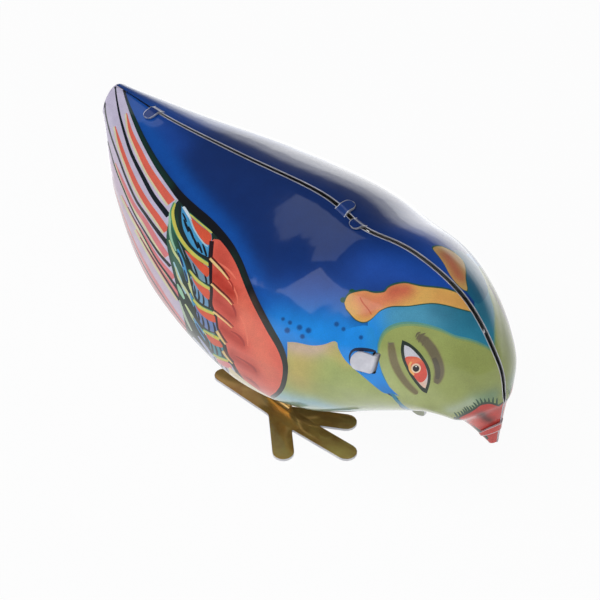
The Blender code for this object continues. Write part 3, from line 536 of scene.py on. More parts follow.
def print_crest():
    """Salmon and yellow band over the crown, with a thin green edge."""
    upper = (
        (344.4, 303), (346.6, 297.6), (350.5, 293.8), (358.7, 291.6), (366, 291), (374, 293), (384, 292.3),
        (388.4, 287.8), (395, 284.8), (405, 283.2), (414.8, 285.2), (423, 286.8), (434.5, 287.8),
        (445.7, 289.3), (455.5, 292.3), (464.4, 296.2),
    )
    lower = (
        (476.4, 312.4), (465.4, 310), (455.5, 307.3), (445.7, 304.8), (434.5, 303), (423, 303.6),
        (409, 305.6), (395, 305.9), (386.8, 307.3), (379.7, 310.8), (374, 316.4), (368.5, 320.6),
        (363, 322), (355.9, 319.4), (350.3, 313.6), (346, 308.4),
    )
    corner = [(4.98, 0), (5.22, 0)]
    haloes = (
        spray(shown(30, 84, 60), 0.0013, 1.0, (343, 306), (345, 296), (354, 290)),
        spray(shown(30, 84, 60), 0.0011, 0.95, (372, 290), (386, 288), (396, 283), (414, 283), (440, 287)),
    )
    for spot, colour, reach in (((343, 300), shown(34, 84, 64), 3.0), ((352, 292), shown(34, 80, 66), 3.4)):
        add_layer(carried(circle(spot, reach, 8)), colour, haloes, -1)
    tints = (
        spray(SALMON, 0.0018, 0.9, (362, 297), (374, 302), (392, 297)),
        spray(SALMON, 0.0011, 0.9, (366, 312), (378, 303)),
        spray(SALMON_DARK, 0.0015, 0.95, (393, 291), (406, 290)),
        spray(shown(222, 160, 84), 0.0014, 0.8, (440, 297), (462, 303)),
    )
    edging = curved(moved(upper, -0.8, -1.8)) + corner + curved(moved(lower, -0.4, 1.2))
    add_layer(edging, shown(40, 84, 70), side=-1)
    add_layer(curved(upper) + corner + curved(lower), GOLDEN, tints, -1)
    stroke(
        shown(206, 92, 52), (360, 297.5, 1.4), (363, 303, 1.4), (368, 309, 1.4), (371.5, 314.5, 1.0),
        side=-1,
    )
    shadow = (
        (447, 268), (449, 255), (458, 250), (470, 258), (482, 274), (488, 292), (478, 304), (466, 291),
    )
    left_fill(shown(30, 104, 134), shadow)
    far = (
        (433.3, 248), (440, 246), (448, 249), (456, 254), (462.7, 260.8), (465.4, 269), (465.6, 279),
        (467, 290.6), (458.8, 286), (450, 275), (444.6, 264.6), (439, 256.4),
    )
    left_fill(shown(36, 96, 70), [(u + (u - 452) * 0.07, v + (v - 268) * 0.05) for u, v in far])
    rusty = spray(shown(206, 118, 84), 0.0015, 0.95, (447, 256), (455, 268), (459, 276), side=1)
    left_fill(shown(214, 176, 104), far, [rusty])


def print_eye():
    """Almond eye with its lids."""
    left = (
        (391, 342.6, 4.5), (391.6, 349, 6.6), (393, 357.5, 7.0), (396, 366.5, 6.6), (401, 375.8, 5.8),
        (408, 385, 5.0), (416, 392.4, 3.6),
    )
    for more, colour in ((2.6, shown(154, 156, 98)), (1.2, shown(144, 138, 92)), (0, CRESCENT)):
        stroke(colour, *((u, v, width + more) for u, v, width in left), (417.6, 394, 0.8))
    right = (
        (417.4, 336, 5.0), (424, 340, 7.4), (430, 346.6, 8.6), (435, 355, 8.8), (438.4, 364, 9.0),
        (439.4, 373, 8.6), (437.4, 380, 6.6), (435.8, 383.4, 3.0),
    )
    for more, colour in ((3.2, shown(148, 152, 92)), (1.6, shown(134, 130, 88)), (0, shown(116, 108, 84))):
        stroke(colour, *((u, v, width + more) for u, v, width in right))
    stroke(shown(96, 90, 76), (434, 358, 4.5), (437, 366, 5.5), (438, 374, 5.0), (437, 379, 3.5))
    for points in (
        ((415.6, 337.4, 0.9), (417.4, 333.6, 1.8), (420.6, 332, 0.8)),
        ((418.4, 342.4, 0.8), (421.4, 335.4, 2.2), (425.4, 333.4, 0.9)),
        ((422, 346, 0.8), (424.6, 338.6, 2.2), (428.8, 338, 0.9)),
    ):
        stroke(shown(112, 104, 82), *points)
    almond = (
        (402.2, 340), (402.2, 340), (409.6, 343.4), (417.6, 350), (423.4, 357), (428.4, 365.4),
        (430.6, 373), (430.2, 382.6), (426.9, 393.4), (426.9, 393.4), (421.4, 390.4), (412, 378.6),
        (406.2, 368.6), (402, 358.5), (400.8, 348.8),
    )
    fill(shown(48, 58, 50), *almond)
    inner = (
        (404.4, 345), (404.4, 345), (409.4, 347), (415.4, 352.4), (420.8, 358.8), (425.4, 366.6),
        (427.6, 373.6), (427.4, 381.4), (425.4, 388.4), (425.4, 388.4), (421.4, 385.8), (414, 376.4),
        (409, 367.4), (405.2, 358), (404, 350),
    )
    fill(EYE_WHITE, *inner, sprays=(spray(shown(240, 196, 168), 0.0009, 0.9, (421, 382), (424, 386)),))
    fill(
        shown(220, 88, 74), (405.4, 357.4), (411, 356.4), (418, 357.4), (423, 361.6), (426, 368),
        (427.2, 375), (424.6, 380.4), (419.6, 382.4), (414.4, 377), (409.6, 369), (406.4, 362.6),
        sprays=(spray(shown(236, 130, 84), 0.0005, 0.9, (410, 362), (420, 359.4)),),
    )
    glint = ((411.4, 361.8, 1.6), (409.6, 365.6, 2.6), (410.8, 370.6, 2.8), (414, 375, 1.8))
    stroke(shown(240, 178, 104), *glint)
    fill(shown(238, 206, 176), *circle((416, 368.3), 4.9, 10))
    fill(shown(44, 34, 40), *circle((416, 368.5), 3.3, 10))
    stroke(shown(230, 226, 226), (415.4, 366.6, 1.2), (416.8, 366.4, 1.2))


def print_neck_painted_shadow():
    """Painted shadow round the neck tab: a dark navy stroke standing for the shade of its slot and gap."""
    stroke(
        shown(20, 40, 74), (376, 351.6, 1.8), (370, 350.2, 3.2), (362, 349.4, 3.4), (355, 349.6, 3.0),
        (351, 352.6, 2.2), (349.6, 357.4, 1.6), (350.6, 363, 1.4), (355, 368, 1.2), (362, 372, 0.9),
        side=-1,
    )


def print_beak():
    """Red beak with a toothed green fringe at its root."""
    root = (
        (456.6, 417.4), (463.2, 413.6), (468.6, 411), (474.6, 407.4), (480.8, 403.2), (489.2, 401.8),
        (498.4, 404.4),
    )
    dense = smooth_line(root, per=5)
    least, more, rhythm, lean = 3.4, 2.4, 1.9, 1.2
    for index in range(1, len(dense) - 1, 2):
        (u, v), (u2, v2) = dense[index], dense[index + 1]
        way = math.hypot(u2 - u, v2 - v)
        along = ((u2 - u) / way, (v2 - v) / way)
        reach = least + more * math.sin(index * rhythm) ** 2
        tip = (u + along[1] * reach - along[0] * lean, v - along[0] * reach - along[1] * lean)
        half_way = (u + (tip[0] - u) / 2, v + (tip[1] - v) / 2)
        stroke(shown(52, 86, 66), (u, v + 1.0, 2.4), (*half_way, 1.7), (*tip, 0.7))
    end = [(LAST + 1, 0), (LAST + 1, math.pi)]
    add_layer([*carried(dense), (7.25, 0), *end, (7.0, math.pi), (6.9, 2.6)], shown(62, 74, 60))
    add_layer([*carried(moved(dense, 0.5, 2.2)), (7.4, 0), *end, (7.2, math.pi), (7.1, 2.6)], BEAK_RED, (
        # painted shade: the dark red-brown spray beside the beak tab stands for the shade of its fold
        spray(shown(96, 36, 34), 0.0009, 0.95, (481, 414), (485, 418), (489, 420)),
        spray(shown(226, 104, 92), 0.0008, 0.7, (470, 417), (476, 423)),
    ))
    stroke(
        shown(58, 76, 64), (454, 417.6, 2.2), (464, 422.5, 3.4), (474, 428, 3.4), (483, 434, 2.8),
        (488, 439, 2.0),
    )


def print_tail():
    """Lavender tail with coral stripes and black lines that fan out from its tip."""
    ends = (
        (178.6, 200), (172.4, 208), (168.6, 222), (166.4, 236), (168, 252), (172, 268), (177, 283),
        (184, 301), (193, 319), (203, 336), (214, 352),
    )
    edge = ((123.5, 90), (127.6, 103), (134.7, 121), (144, 141), (157, 164), (171, 184))
    under = [(2.95, 2.1), (2.95, 2.4), (2.8, 2.8), (2.5, math.pi), (-1, math.pi), (-1, 0), (0.15, 0)]
    add_layer(curved(edge) + curved(ends) + under, LAVENDER, (
        skin_spray(shown(226, 190, 200), 0.0050, 0.6, (0.8, 1.8), (2.2, 1.8)),
    ))
    stripes = (
        (
            (126.6, 113, 0.8), (130.6, 131, 3.6), (139, 150, 5.2), (149, 170, 6.4), (161, 188, 7.4),
            (171.6, 202.4, 8.2),
        ),
        (
            (115, 126, 0.8), (120, 143.5, 3.2), (126.5, 162, 3.8), (136, 184, 4.8), (146, 201.6, 5.4),
            (157, 217, 6), (166.6, 231, 6.4),
        ),
        (
            (115.4, 163, 0.8), (124.5, 185, 2.8), (134, 205, 3.4), (145, 221, 4.4), (156, 239.6, 5),
            (167, 256.4, 5.4),
        ),
        ((121.6, 195, 0.7), (134, 219, 1.8), (145, 237, 2.8), (158, 259.6, 4.4), (173.4, 278.6, 6)),
        ((136, 229, 0.7), (150, 253.6, 2.2), (165, 277, 3.6), (180, 298, 5)),
    )
    for points in stripes:
        edging = [(u - 0.9, v + 0.7, width + 1.7) for u, v, width in points]
        stroke(shown(224, 218, 176), *edging)
        stroke(CORAL if points[0][1] < 150 else STRIPE_PINK, *points)
    lines = (
        (
            (115.3, 86.6, 1.6), (116.3, 96.5, 1.7), (119.4, 114, 2.1), (124.5, 133, 2.7), (131.6, 154, 3.3),
            (143, 177, 4), (153, 195.5, 4.6), (163, 209, 5.2), (168.4, 216, 5.4),
        ),
        (
            (104.6, 100.6, 1.4), (106, 116, 1.5), (111, 136, 1.6), (118.4, 157, 1.8), (126.5, 179, 2),
            (136, 200, 2.3), (146, 215, 2.8), (156, 229, 3.4), (169, 245.6, 4.4),
        ),
        (
            (107.7, 141, 1.0), (115, 167, 1.1), (123.5, 189, 1.3), (134, 213, 1.4), (145, 232, 1.6),
            (158, 252, 2.2), (170.4, 266.4, 3),
        ),
        ((128, 207, 0.9), (141, 231.6, 1.2), (155, 257, 1.5), (168.4, 276, 2), (179, 291, 2.8)),
        ((140, 237, 0.8), (160, 270, 1.3), (175, 293.4, 2), (186, 309.6, 2.6)),
    )
    for points in lines:
        stroke(INK, *points)
    for index in range(7):
        turn = 0.115 * index
        skin_stroke(
            STRIPE_PINK, (0.5, 1.80 + 1.1 * turn, 0.25), (1.2, 1.62 + turn, 0.6), (2.0, 1.62 + turn, 0.8),
            (2.62, 1.80 + 0.8 * turn, 0.95),
        )
        skin_stroke(
            INK, (0.3, 1.86 + 1.1 * turn, 0.2), (1.2, 1.68 + turn, 0.3), (2.0, 1.68 + turn, 0.4),
            (2.66, 1.85 + 0.8 * turn, 0.5),
        )


def feather(rim, wedge, field, edge, field_colour, wedge_colour=ORANGE, count=5):
    """Feather of the inner row: field with dashes, coloured wedge, yellow rim and dark edge."""
    fill(field_colour, *field)
    shift = np.array((1.6, 2.6))
    for index in range(count):
        share = (index + 0.7) / count
        start, base = (
            smooth_line(line, per=10)[int(share * 10 * (len(line) - 1))][:2] for line in (rim, edge)
        )
        first, last = start * 0.50 + base * 0.50, start * 0.04 + base * 0.96
        stroke(INK, (*(first - shift), 0.8), (*((first + last) / 2), 1.9), (*last, 2.0))
    fill(wedge_colour, *wedge)
    stroke(RIM_GREEN, *((u - 0.9, v - 0.9, width + 0.7) for u, v, width in rim))
    stroke(RIM_YELLOW, *rim)
    stroke(OUTLINE, *edge)


def print_wing():
    """Wing: dark ground, outer and inner feathers, coral shoulder and black border."""
    shoulder_left = (
        (211.8, 241), (210.4, 258), (210.7, 270), (210.7, 280), (211.5, 291), (210.9, 303), (212.8, 309),
        (216, 316), (217.8, 328.6), (223, 338), (225.3, 345), (227.4, 354), (232, 361.5), (236, 369.5),
        (241, 377), (247.6, 385), (255, 392),
    )
    ends = (
        (186.6, 330), (184.4, 320), (181.6, 309), (179, 298), (175.6, 283), (172, 268), (168, 252),
        (166.4, 236), (168.6, 222), (172.4, 208), (178.6, 200), (178.6, 194),
    )
    ground = curved(shoulder_left, 2) + [(3.35, 2.3), (3.1, 2.5), (2.85, 2.45), (2.6, 2.25), (2.52, 2.0)]
    ground += curved(ends) + carried(((206, 216), (218, 229), (223, 243)))
    add_layer(ground, shown(30, 52, 42), (
        spray(shown(66, 118, 96), 0.0012, 0.8, (170, 226), (172, 244), (178, 268)),
    ))
    stroke(
        shown(158, 204, 170), (176.6, 199.6, 1.2), (170.8, 211, 2.2), (169.6, 224, 2.4), (171, 238, 2.2),
        (176, 251, 1.4),
    )
    stroke(
        shown(206, 214, 150), (169.2, 240, 1.4), (174, 252, 2.2), (180.5, 262, 2.4), (186.5, 274, 2.4),
        (190.5, 288, 2.4), (197, 301, 2), (205, 308, 1.2),
    )
    stroke(SKY, (177.6, 249, 1.4), (180.6, 257, 3.2), (184.6, 269, 3.4), (187.4, 281, 2))
    stroke(DASH, (178.2, 252.6, 1), (181.4, 261, 2), (183.4, 267, 1))
    stroke(DASH, (184, 269.6, 1), (186.4, 277, 1.8), (188, 283, 0.9))
    stroke(PALE_SKY, (173.6, 262, 1.2), (178, 274, 2.4), (183, 287, 2.2), (186, 294, 1))
    stroke(shown(204, 210, 160), (175.2, 267, 1.0), (179, 279, 2.0), (187, 292, 2.2), (196, 309, 1.4))
    stroke(shown(160, 206, 172), (177.2, 284, 1.2), (180.4, 291, 3.4), (184.4, 299, 1.4))
    stroke(shown(188, 206, 178), (179.4, 300, 1.0), (183, 311, 2.0), (187.4, 322, 2.0), (192, 331, 1.0))
    stroke(shown(172, 178, 208), (198, 336, 1.0), (205, 346, 2.2), (213, 356, 2.4), (222, 366, 1.4))
    stroke(shown(188, 196, 218), (193, 337, 1.2), (202, 348, 2.2), (212, 360, 2.2), (222, 370, 1.2))
    stroke(SKY, (190, 293, 1.2), (194, 304, 3), (199, 314, 3.2), (204, 324, 1.6))
    stroke(shown(206, 220, 160), (185, 304, 1.2), (192, 316, 2.2), (199, 327, 2.2), (207, 336, 1.4))
    stroke(SKY, (193.6, 318, 1.4), (199, 328, 3.4), (206, 339, 3.4), (212, 348, 1.6))
    stroke(DASH, (196, 323, 1), (201, 331.6, 1.8), (206.4, 339.6, 1))
    stroke(CREAM, (212, 350, 1.0), (218, 359, 1.8), (225, 367, 1.2))
    stroke(shown(190, 196, 222), (209, 352, 1.4), (217, 363, 3), (226.6, 374.4, 3))
    feather(
        ((189.6, 214.2, 1.4), (201.8, 224.6, 1.6), (212, 233, 1.6)),
        (
            (190.5, 216.6), (190.5, 216.6), (201, 225.8), (211.3, 234.6), (209.5, 244.8), (204, 242.5),
            (198.5, 236), (193, 227),
        ),
        (
            (181.6, 206), (181.6, 206), (190, 214.6), (201.8, 225), (211.5, 233), (210, 258), (199.7, 254),
            (191, 247), (185, 237), (181.6, 224),
        ),
        (
            (179.8, 204.6, 2.4), (180.5, 224, 3.2), (184.7, 237, 3.6), (191, 247.5, 3.8), (199.7, 255, 3.8),
            (209.6, 259.6, 3.6),
        ),
        SKY, count=0,
    )
    stroke(shown(214, 226, 232), (183.4, 206.6, 2.6), (187.4, 213, 2.8), (191, 220, 1.6))
    stroke(
        PALE_SKY, (190, 219, 1.8), (194, 229, 1.5), (199.5, 238, 1.4), (205, 244.6, 1.4), (208, 246.4, 1.2),
    )
    for points in (
        ((182.6, 213, 1.2), (185, 218, 1.8), (186.6, 222, 1.2)),
        ((183.7, 219.3, 1.2), (186, 225, 2.4), (188.6, 231.8, 2.0)),
        ((188.4, 226.4, 1.2), (191, 232, 2.4), (193.8, 239.4, 2.0)),
        ((193.0, 236.5, 1.2), (195.4, 242, 2.4), (198.2, 248.4, 2.0)),
        ((197.6, 241.8, 1.2), (199.6, 246.5, 2.2), (202.2, 253.0, 1.8)),
        ((202.6, 244.0, 1.2), (204.4, 249, 2.2), (206.6, 256.0, 1.8)),
    ):
        stroke(INK, *points)
    feather(
        (
            (175.2, 203.4, 1.6), (172.8, 212, 2.8), (174.2, 223, 3.2), (177.7, 233, 3.2),
            (183.2, 242.5, 3.2), (189.6, 250.4, 3.2), (198, 257.9, 3.2), (208.8, 265, 3.0),
        ),
        (
            (185, 250.6), (190.5, 254), (200, 261.6), (209.2, 268.5), (207.6, 277), (202, 272.5),
            (195, 264.5),
        ),
        (
            (178, 240), (186, 252), (200, 262), (209.4, 268), (209.4, 285), (199.7, 280), (192, 271),
            (186, 260),
        ),
        (
            (178.5, 240, 1.0), (184, 251, 1.6), (189, 265, 2.4), (194, 274, 2.8), (200.5, 281.5, 2.8),
            (209.6, 286, 2.6),
        ),
        shown(118, 152, 172),
    )
    feather(
        ((189.6, 270.6, 1.6), (197, 280, 2.8), (203.6, 285.3, 2.8), (210.4, 289.2, 2.6)),
        ((191.5, 275.5), (200, 283.2), (209.4, 291), (208.7, 299.6), (202, 293.8), (195.5, 284.8)),
        ((190.6, 276), (200, 284), (210, 291), (210.6, 309), (201.5, 304), (195, 296), (191.5, 287)),
        ((190.6, 279, 1.2), (194.6, 296, 2.2), (201.5, 304.6, 2.4), (211.4, 309.6, 2.2)),
        shown(112, 158, 192),
    )
    feather(
        ((193.4, 299.6, 1.6), (199.5, 306.6, 2.8), (205.8, 310.4, 2.8), (214.4, 314, 2.6)),
        ((195.5, 305), (205, 311.6), (214.4, 316), (216.4, 322.4), (209, 320.4), (201, 314)),
        (
            (194, 305), (205, 312.6), (215.4, 317), (217.6, 332.8), (209.5, 331.4), (201, 324.6),
            (196, 315.6),
        ),
        ((194, 307, 1.2), (197.4, 319, 2.0), (203, 327, 2.2), (210, 332, 2.2), (217.8, 333.6, 2.0)),
        shown(110, 134, 184),
    )
    feather(
        ((203.6, 330, 1.4), (211, 334.6, 2.6), (219.6, 339.2, 2.4)),
        ((206, 334), (213, 337.4), (220, 341), (222.6, 347.4), (214, 345), (209, 340)),
        ((205, 335), (212, 338), (220.4, 341.4), (224.4, 356.6), (216, 354.6), (209.5, 347.6)),
        ((204.6, 335, 1.2), (209, 348, 2.0), (216, 355.6, 2.2), (225, 358, 1.8)),
        shown(70, 146, 160),
    )
    feather(
        ((213.6, 354.6, 1.2), (220, 358.4, 2.2), (228.4, 361.4, 2.0)),
        ((216.4, 358.6), (222, 360.6), (229, 363), (232, 368.6), (225, 367), (219, 363)),
        ((215, 359), (222, 361), (230, 363.6), (236, 374), (228, 374), (219.6, 367)),
        ((214.6, 360, 1.2), (220, 369.6, 1.8), (228, 376, 1.8), (237, 378, 1.4)),
        shown(190, 186, 214), shown(232, 130, 132),
    )
    fill(
        CREAM, (229.6, 371), (236, 378), (243, 385.6), (251, 392.4), (257, 396), (248, 394), (238, 386),
        (231, 377),
    )
    coral = (
        (214.0, 239.0), (214.0, 239.0), (219.4, 240), (226, 245), (232.6, 255.6), (239, 268.6),
        (244, 280.6), (249, 290.6), (254, 300.6), (259, 311), (267, 325), (275, 340), (281.6, 354),
        (284.2, 365.4), (283.4, 377.4), (279.4, 390.6), (272, 396.4),
    )
    bottom = [(3.62, 2.16), (3.5, 2.3), (3.36, 2.3)]
    add_layer(curved(coral) + bottom + curved(shoulder_left[::-1], 2), CORAL, (
        spray(CORAL_LIGHT, 0.0024, 0.8, (240, 308), (258, 342), (268, 370)),
        spray(CORAL_SHADE, 0.0020, 0.5, (220, 252), (226, 268)),
        spray(CORAL_SHADE, 0.0013, 0.95, (215, 276), (224, 286), (233, 294)),
        spray(CORAL_SHADE, 0.0013, 0.95, (216, 298), (225, 309), (233, 315)),
        spray(CORAL_SHADE, 0.0012, 0.95, (222, 328), (233, 337), (242, 343)),
        spray(CORAL_SHADE, 0.0012, 0.95, (232, 356), (243, 364), (254, 370)),
        spray(CORAL_SHADE, 0.0011, 0.9, (244, 376), (252, 383), (258, 388)),
    ))
    for points in (
        ((215, 261, 0.8), (222, 265, 1.8), (230, 271.5, 2.0), (236, 279, 1.0)),
        ((228, 281, 0.8), (233, 287, 1.6), (237, 296, 1.6), (238, 304, 0.8)),
        ((240, 316, 0.8), (244, 324, 1.6), (247, 336, 1.8), (248, 346, 0.8)),
    ):
        stroke(CORAL_LIGHT, *points)
    for points in (
        ((226, 297, 0.8), (231, 303, 1.8), (235, 311, 2.0), (236, 316.5, 0.9)),
        ((231, 331, 0.8), (238, 335, 1.8), (243, 341, 2.0), (244.5, 346, 0.9)),
        ((236, 356, 0.8), (246, 362, 1.6), (253, 367, 2.0), (256.5, 372, 0.9)),
        ((246, 377, 0.8), (252, 381, 1.6), (257, 385.6, 1.8), (259.5, 389, 0.8)),
        ((229, 279, 0.7), (232.4, 285, 1.6), (233.4, 290, 0.9)),
    ):
        stroke(shown(176, 56, 48), *points)
    widths = (4.6, 4.4, 3.4, 3.0, 3.2, 3.0, 2.6, 2.2, 2.0, 2.0, 2.0, 2.0, 2.0, 2.0, 2.0, 1.8, 1.4)
    stroke(shown(44, 24, 28), *((u, v, width) for (u, v), width in zip(shoulder_left, widths)))
    for points in (
        ((209.8, 258.4, 2.4), (215, 264, 2.6), (221.6, 271, 2.2), (228.4, 279.6, 0.9)),
        ((211, 284, 1.8), (219, 291.6, 1.9), (227, 299, 1.5), (232, 305, 0.8)),
        ((213, 311.6, 1.8), (219.6, 317, 1.6), (226, 322.4, 1.3), (232, 328, 0.7)),
        ((216.6, 331, 2.6), (220.6, 337.6, 2.2), (225.6, 344, 1.0)),
        ((222.4, 351, 2.4), (227, 357.6, 1.8), (232.6, 363.6, 0.9)),
    ):
        stroke(shown(96, 40, 34), *((u + 1.7, v - 1.2, width * 0.9) for u, v, width in points))
        stroke(shown(240, 208, 140), *points)
    border = (
        (122.4, 84, 2.6), (124.4, 92, 2.4), (127.8, 103, 2.8), (134.9, 121, 4.4), (144, 141, 5.4),
        (157, 164, 6.4), (171, 184, 7.4), (181.6, 197.6, 8.4), (196, 211, 8.8), (207, 220.4, 9.0),
        (218, 231.6, 8.8), (229.6, 245.6, 8), (239, 262, 7.2), (246, 279.6, 7), (253, 296.6, 7),
        (261.4, 313.6, 7), (270.6, 330.6, 7), (279.4, 346, 6.6), (284.4, 360, 5.6), (285.4, 372, 5.2),
        (283, 385, 5.2), (278, 393, 4.6), (271, 398, 4.0),
    )
    stroke(
        CREAM, (229, 367.6, 2.0), (237, 378, 6.5), (247, 387.6, 9.0), (258, 395, 8.6), (268, 399.6, 6.8),
        (277, 401.6, 3.4),
    )
    stroke(shown(18, 20, 24), *border, sprays=(
        spray(shown(20, 56, 46), 0.0009, 0.8, (126, 104), (146, 150), (170, 186)),
        spray(shown(20, 46, 36), 0.0007, 0.7, (232, 254), (238, 262), (246, 284)),
        spray(shown(74, 62, 54), 0.0010, 0.8, (252, 300), (262, 318)),
        spray(shown(46, 52, 46), 0.0016, 0.8, (270, 330), (284, 356), (282, 384)),
    ))
    skin_stroke(
        shown(52, 54, 46), (3.66, 2.1, 0.8), (3.58, 2.3, 0.8), (3.4, 2.4, 0.7), (3.2, 2.36, 0.6),
        (3.05, 2.2, 0.4),
    )


def print_left_tail():
    """The left half's back colour, which reaches further down near the tail."""
    low = (
        (-0.6, 0), (-0.3, 0.45), (0.1, 0.80), (0.6, 0.98), (1.2, 1.0), (1.6, 0.86), (1.9, 0.60), (2.2, 0),
    )
    edge = smooth_line(low)
    lighter = skin_spray(shown(26, 76, 156), 0.0050, 0.9, (0.1, 0.4), (0.9, 0.7))
    add_layer(edge, NAVY, [*LAYERS[0][2], lighter], 1)
    skin_stroke(INK, *((*point, 0.35) for point in edge[2:-8]), side=1)


print_body()
print_breast()
print_head()
print_crest()
print_eye()
print_beak()
print_tail()
print_wing()
print_left_tail()
# painted shadow round the neck tab
print_neck_painted_shadow()


# Holes in the shells

OPENING_BACK_X = -0.0095
OPENING_FRONT_X = 0.0065
OPENING_WIDTH = 0.0192
OPENING_ROUND = 0.0020
SEAM_SIDE = 0.0004
NECK_TAB_X = 0.0250
NECK_TAB_Z = {-1: 0.0306, 1: 0.0220}
NECK_TAB_WIDTH = 0.0030
NECK_SLOT_ROOM = 0.0003
PLATE_THICKNESS = 0.0006
WINDING = (-0.005423 - TOY.x, 0.0181)
KEY_HOLE_RADIUS = 0.0020
NECK_SLOT_ROUND = 0.0003
HOLE_POINTS_APART = 0.0008
# Skin's grid: rows to a section, rows of each end's dome, steps from back to belly, longest edge
GRID_ALONG = 18
GRID_END = 6
GRID_AROUND = 76
LONGEST_EDGE = 0.6
POINTS_MERGE = 1e-3
END_ROOM = 1e-6
# Start of the rays from below and from the right
FROM_BELOW = -0.02
FROM_RIGHT = -0.08


def hit_from(start, way):
    """Place and turn where a ray meets the right half's skin."""
    hit, _, index, _ = TREE.ray_cast(Vector(start), Vector(way))
    return skin_place_of(hit, index)


def belly_place(x, away):
    """Place and turn over a point of the floor, with its distance from the seam's plane."""
    return hit_from((x + TOY.x, TOY.y - away, FROM_BELOW), (0, 0, 1))


def side_place(x, z):
    """Place and turn at a point of the side view."""
    return hit_from((x, FROM_RIGHT, z), (0, 1, 0))


def belly_hole():
    """Outline of the opening's half, from seam to seam."""
    half = OPENING_WIDTH / 2
    points = [(OPENING_BACK_X, SEAM_SIDE)]
    for centre_x, first in ((OPENING_BACK_X + OPENING_ROUND, 180), (OPENING_FRONT_X - OPENING_ROUND, 90)):
        for step in range(7):
            angle = math.radians(first - 15 * step)
            y = half - OPENING_ROUND + OPENING_ROUND * math.sin(angle)
            points.append((centre_x + OPENING_ROUND * math.cos(angle), y))
    points.append((OPENING_FRONT_X, SEAM_SIDE))
    dense = []
    for (x, y), (x2, y2) in zip(points[:-1], points[1:]):
        count = max(int(math.hypot(x2 - x, y2 - y) / HOLE_POINTS_APART), 1)
        dense += [(x + (x2 - x) * step / count, y + (y2 - y) * step / count) for step in range(count)]
    found = [belly_place(x, y) for x, y in (*dense, points[-1])]
    return [(found[0][0], math.pi), *found, (found[-1][0], math.pi)]


def side_hole(outline):
    """Outline of a hole cut straight through a side, from points along and up."""
    return [side_place(x + TOY.x, z) for x, z in outline]


def neck_hole(side):
    """Rounded slot for the plate's neck tab."""
    half = PLATE_THICKNESS / 2 + NECK_SLOT_ROOM
    tall = NECK_TAB_WIDTH / 2 + NECK_SLOT_ROOM
    ease = NECK_SLOT_ROUND
    outline = []
    for centre_x, centre_z, first in ((1, 1, 0), (-1, 1, 90), (-1, -1, 180), (1, -1, 270)):
        for step in range(4):
            angle = math.radians(first + 30 * step)
            x = NECK_TAB_X + centre_x * (half - ease) + ease * math.cos(angle)
            z = NECK_TAB_Z[side] + centre_z * (tall - ease) + ease * math.sin(angle)
            outline.append((x, z))
    return side_hole(outline)


def key_hole():
    """Round hole for the winding arbor."""
    return side_hole(circle(WINDING, KEY_HOLE_RADIUS))


# Shell meshes

def inside(points, outline):
    """Which points lie inside a closed outline."""
    x, y = points[:, 0], points[:, 1]
    found = np.zeros(len(points), dtype=bool)
    near = (x >= outline[:, 0].min()) & (x <= outline[:, 0].max())
    near &= (y >= outline[:, 1].min()) & (y <= outline[:, 1].max())
    chosen = np.flatnonzero(near)
    px, py = x[chosen], y[chosen]
    state = np.zeros(len(chosen), dtype=bool)
    for (x1, y1), (x2, y2) in zip(outline, np.roll(outline, -1, axis=0)):
        if y1 == y2:
            continue
        state ^= ((y1 > py) != (y2 > py)) & (px < (x2 - x1) * (py - y1) / (y2 - y1) + x1)
    found[chosen] = state
    return found


def in_steps(outline):
    """Closed outline with its long stretches divided."""
    dense = []
    for start, end in zip(outline, np.roll(outline, -1, axis=0)):
        count = max(math.ceil(np.linalg.norm(end - start) / LONGEST_EDGE), 1)
        dense += [start + (end - start) * step / count for step in range(count)]
    return dense


def print_mesh(holes):
    """Triangles of the skin cut along the print's and the holes' outlines: corners and faces."""
    low, high = np.array((-1.0, 0.0)), np.array((LAST + 1.0, math.pi))
    tail = np.linspace(0, 1, GRID_END + 1)[:-1] - 1
    beak = LAST + np.linspace(0, 1, GRID_END)
    places = np.concatenate((tail, np.arange(LAST * GRID_ALONG) / GRID_ALONG, beak))
    turns = math.pi * np.arange(GRID_AROUND + 1) / GRID_AROUND
    grid = np.array([(place, turn) for place in places for turn in turns])
    points = [Vector(point) for point in grid * METRIC]
    corners = [0, GRID_AROUND, len(grid) - 1, len(grid) - 1 - GRID_AROUND]
    edges = [(corners[index], corners[(index + 1) % 4]) for index in range(4)]
    for outline in [layer[0] for layer in LAYERS[1:]] + holes:
        clipped = in_steps(np.clip(outline, low, high) * METRIC)
        first = len(points)
        points += [Vector(point) for point in clipped]
        count = len(clipped)
        edges += [(first + step, first + (step + 1) % count) for step in range(count)]
    found = delaunay_2d_cdt(points, edges, [], 0, POINTS_MERGE)
    corners = np.array([tuple(point) for point in found[0]]) / METRIC
    return np.clip(corners, low, high), np.array([face for face in found[2] if len(face) == 3])


def layer_of(middles, side):
    """Topmost print layer of a half at each point."""
    top = np.zeros(len(middles), dtype=int)
    for index, layer in enumerate(LAYERS):
        if index and layer[3] in (0, side):
            top[inside(middles * METRIC, layer[0] * METRIC)] = index
    return top


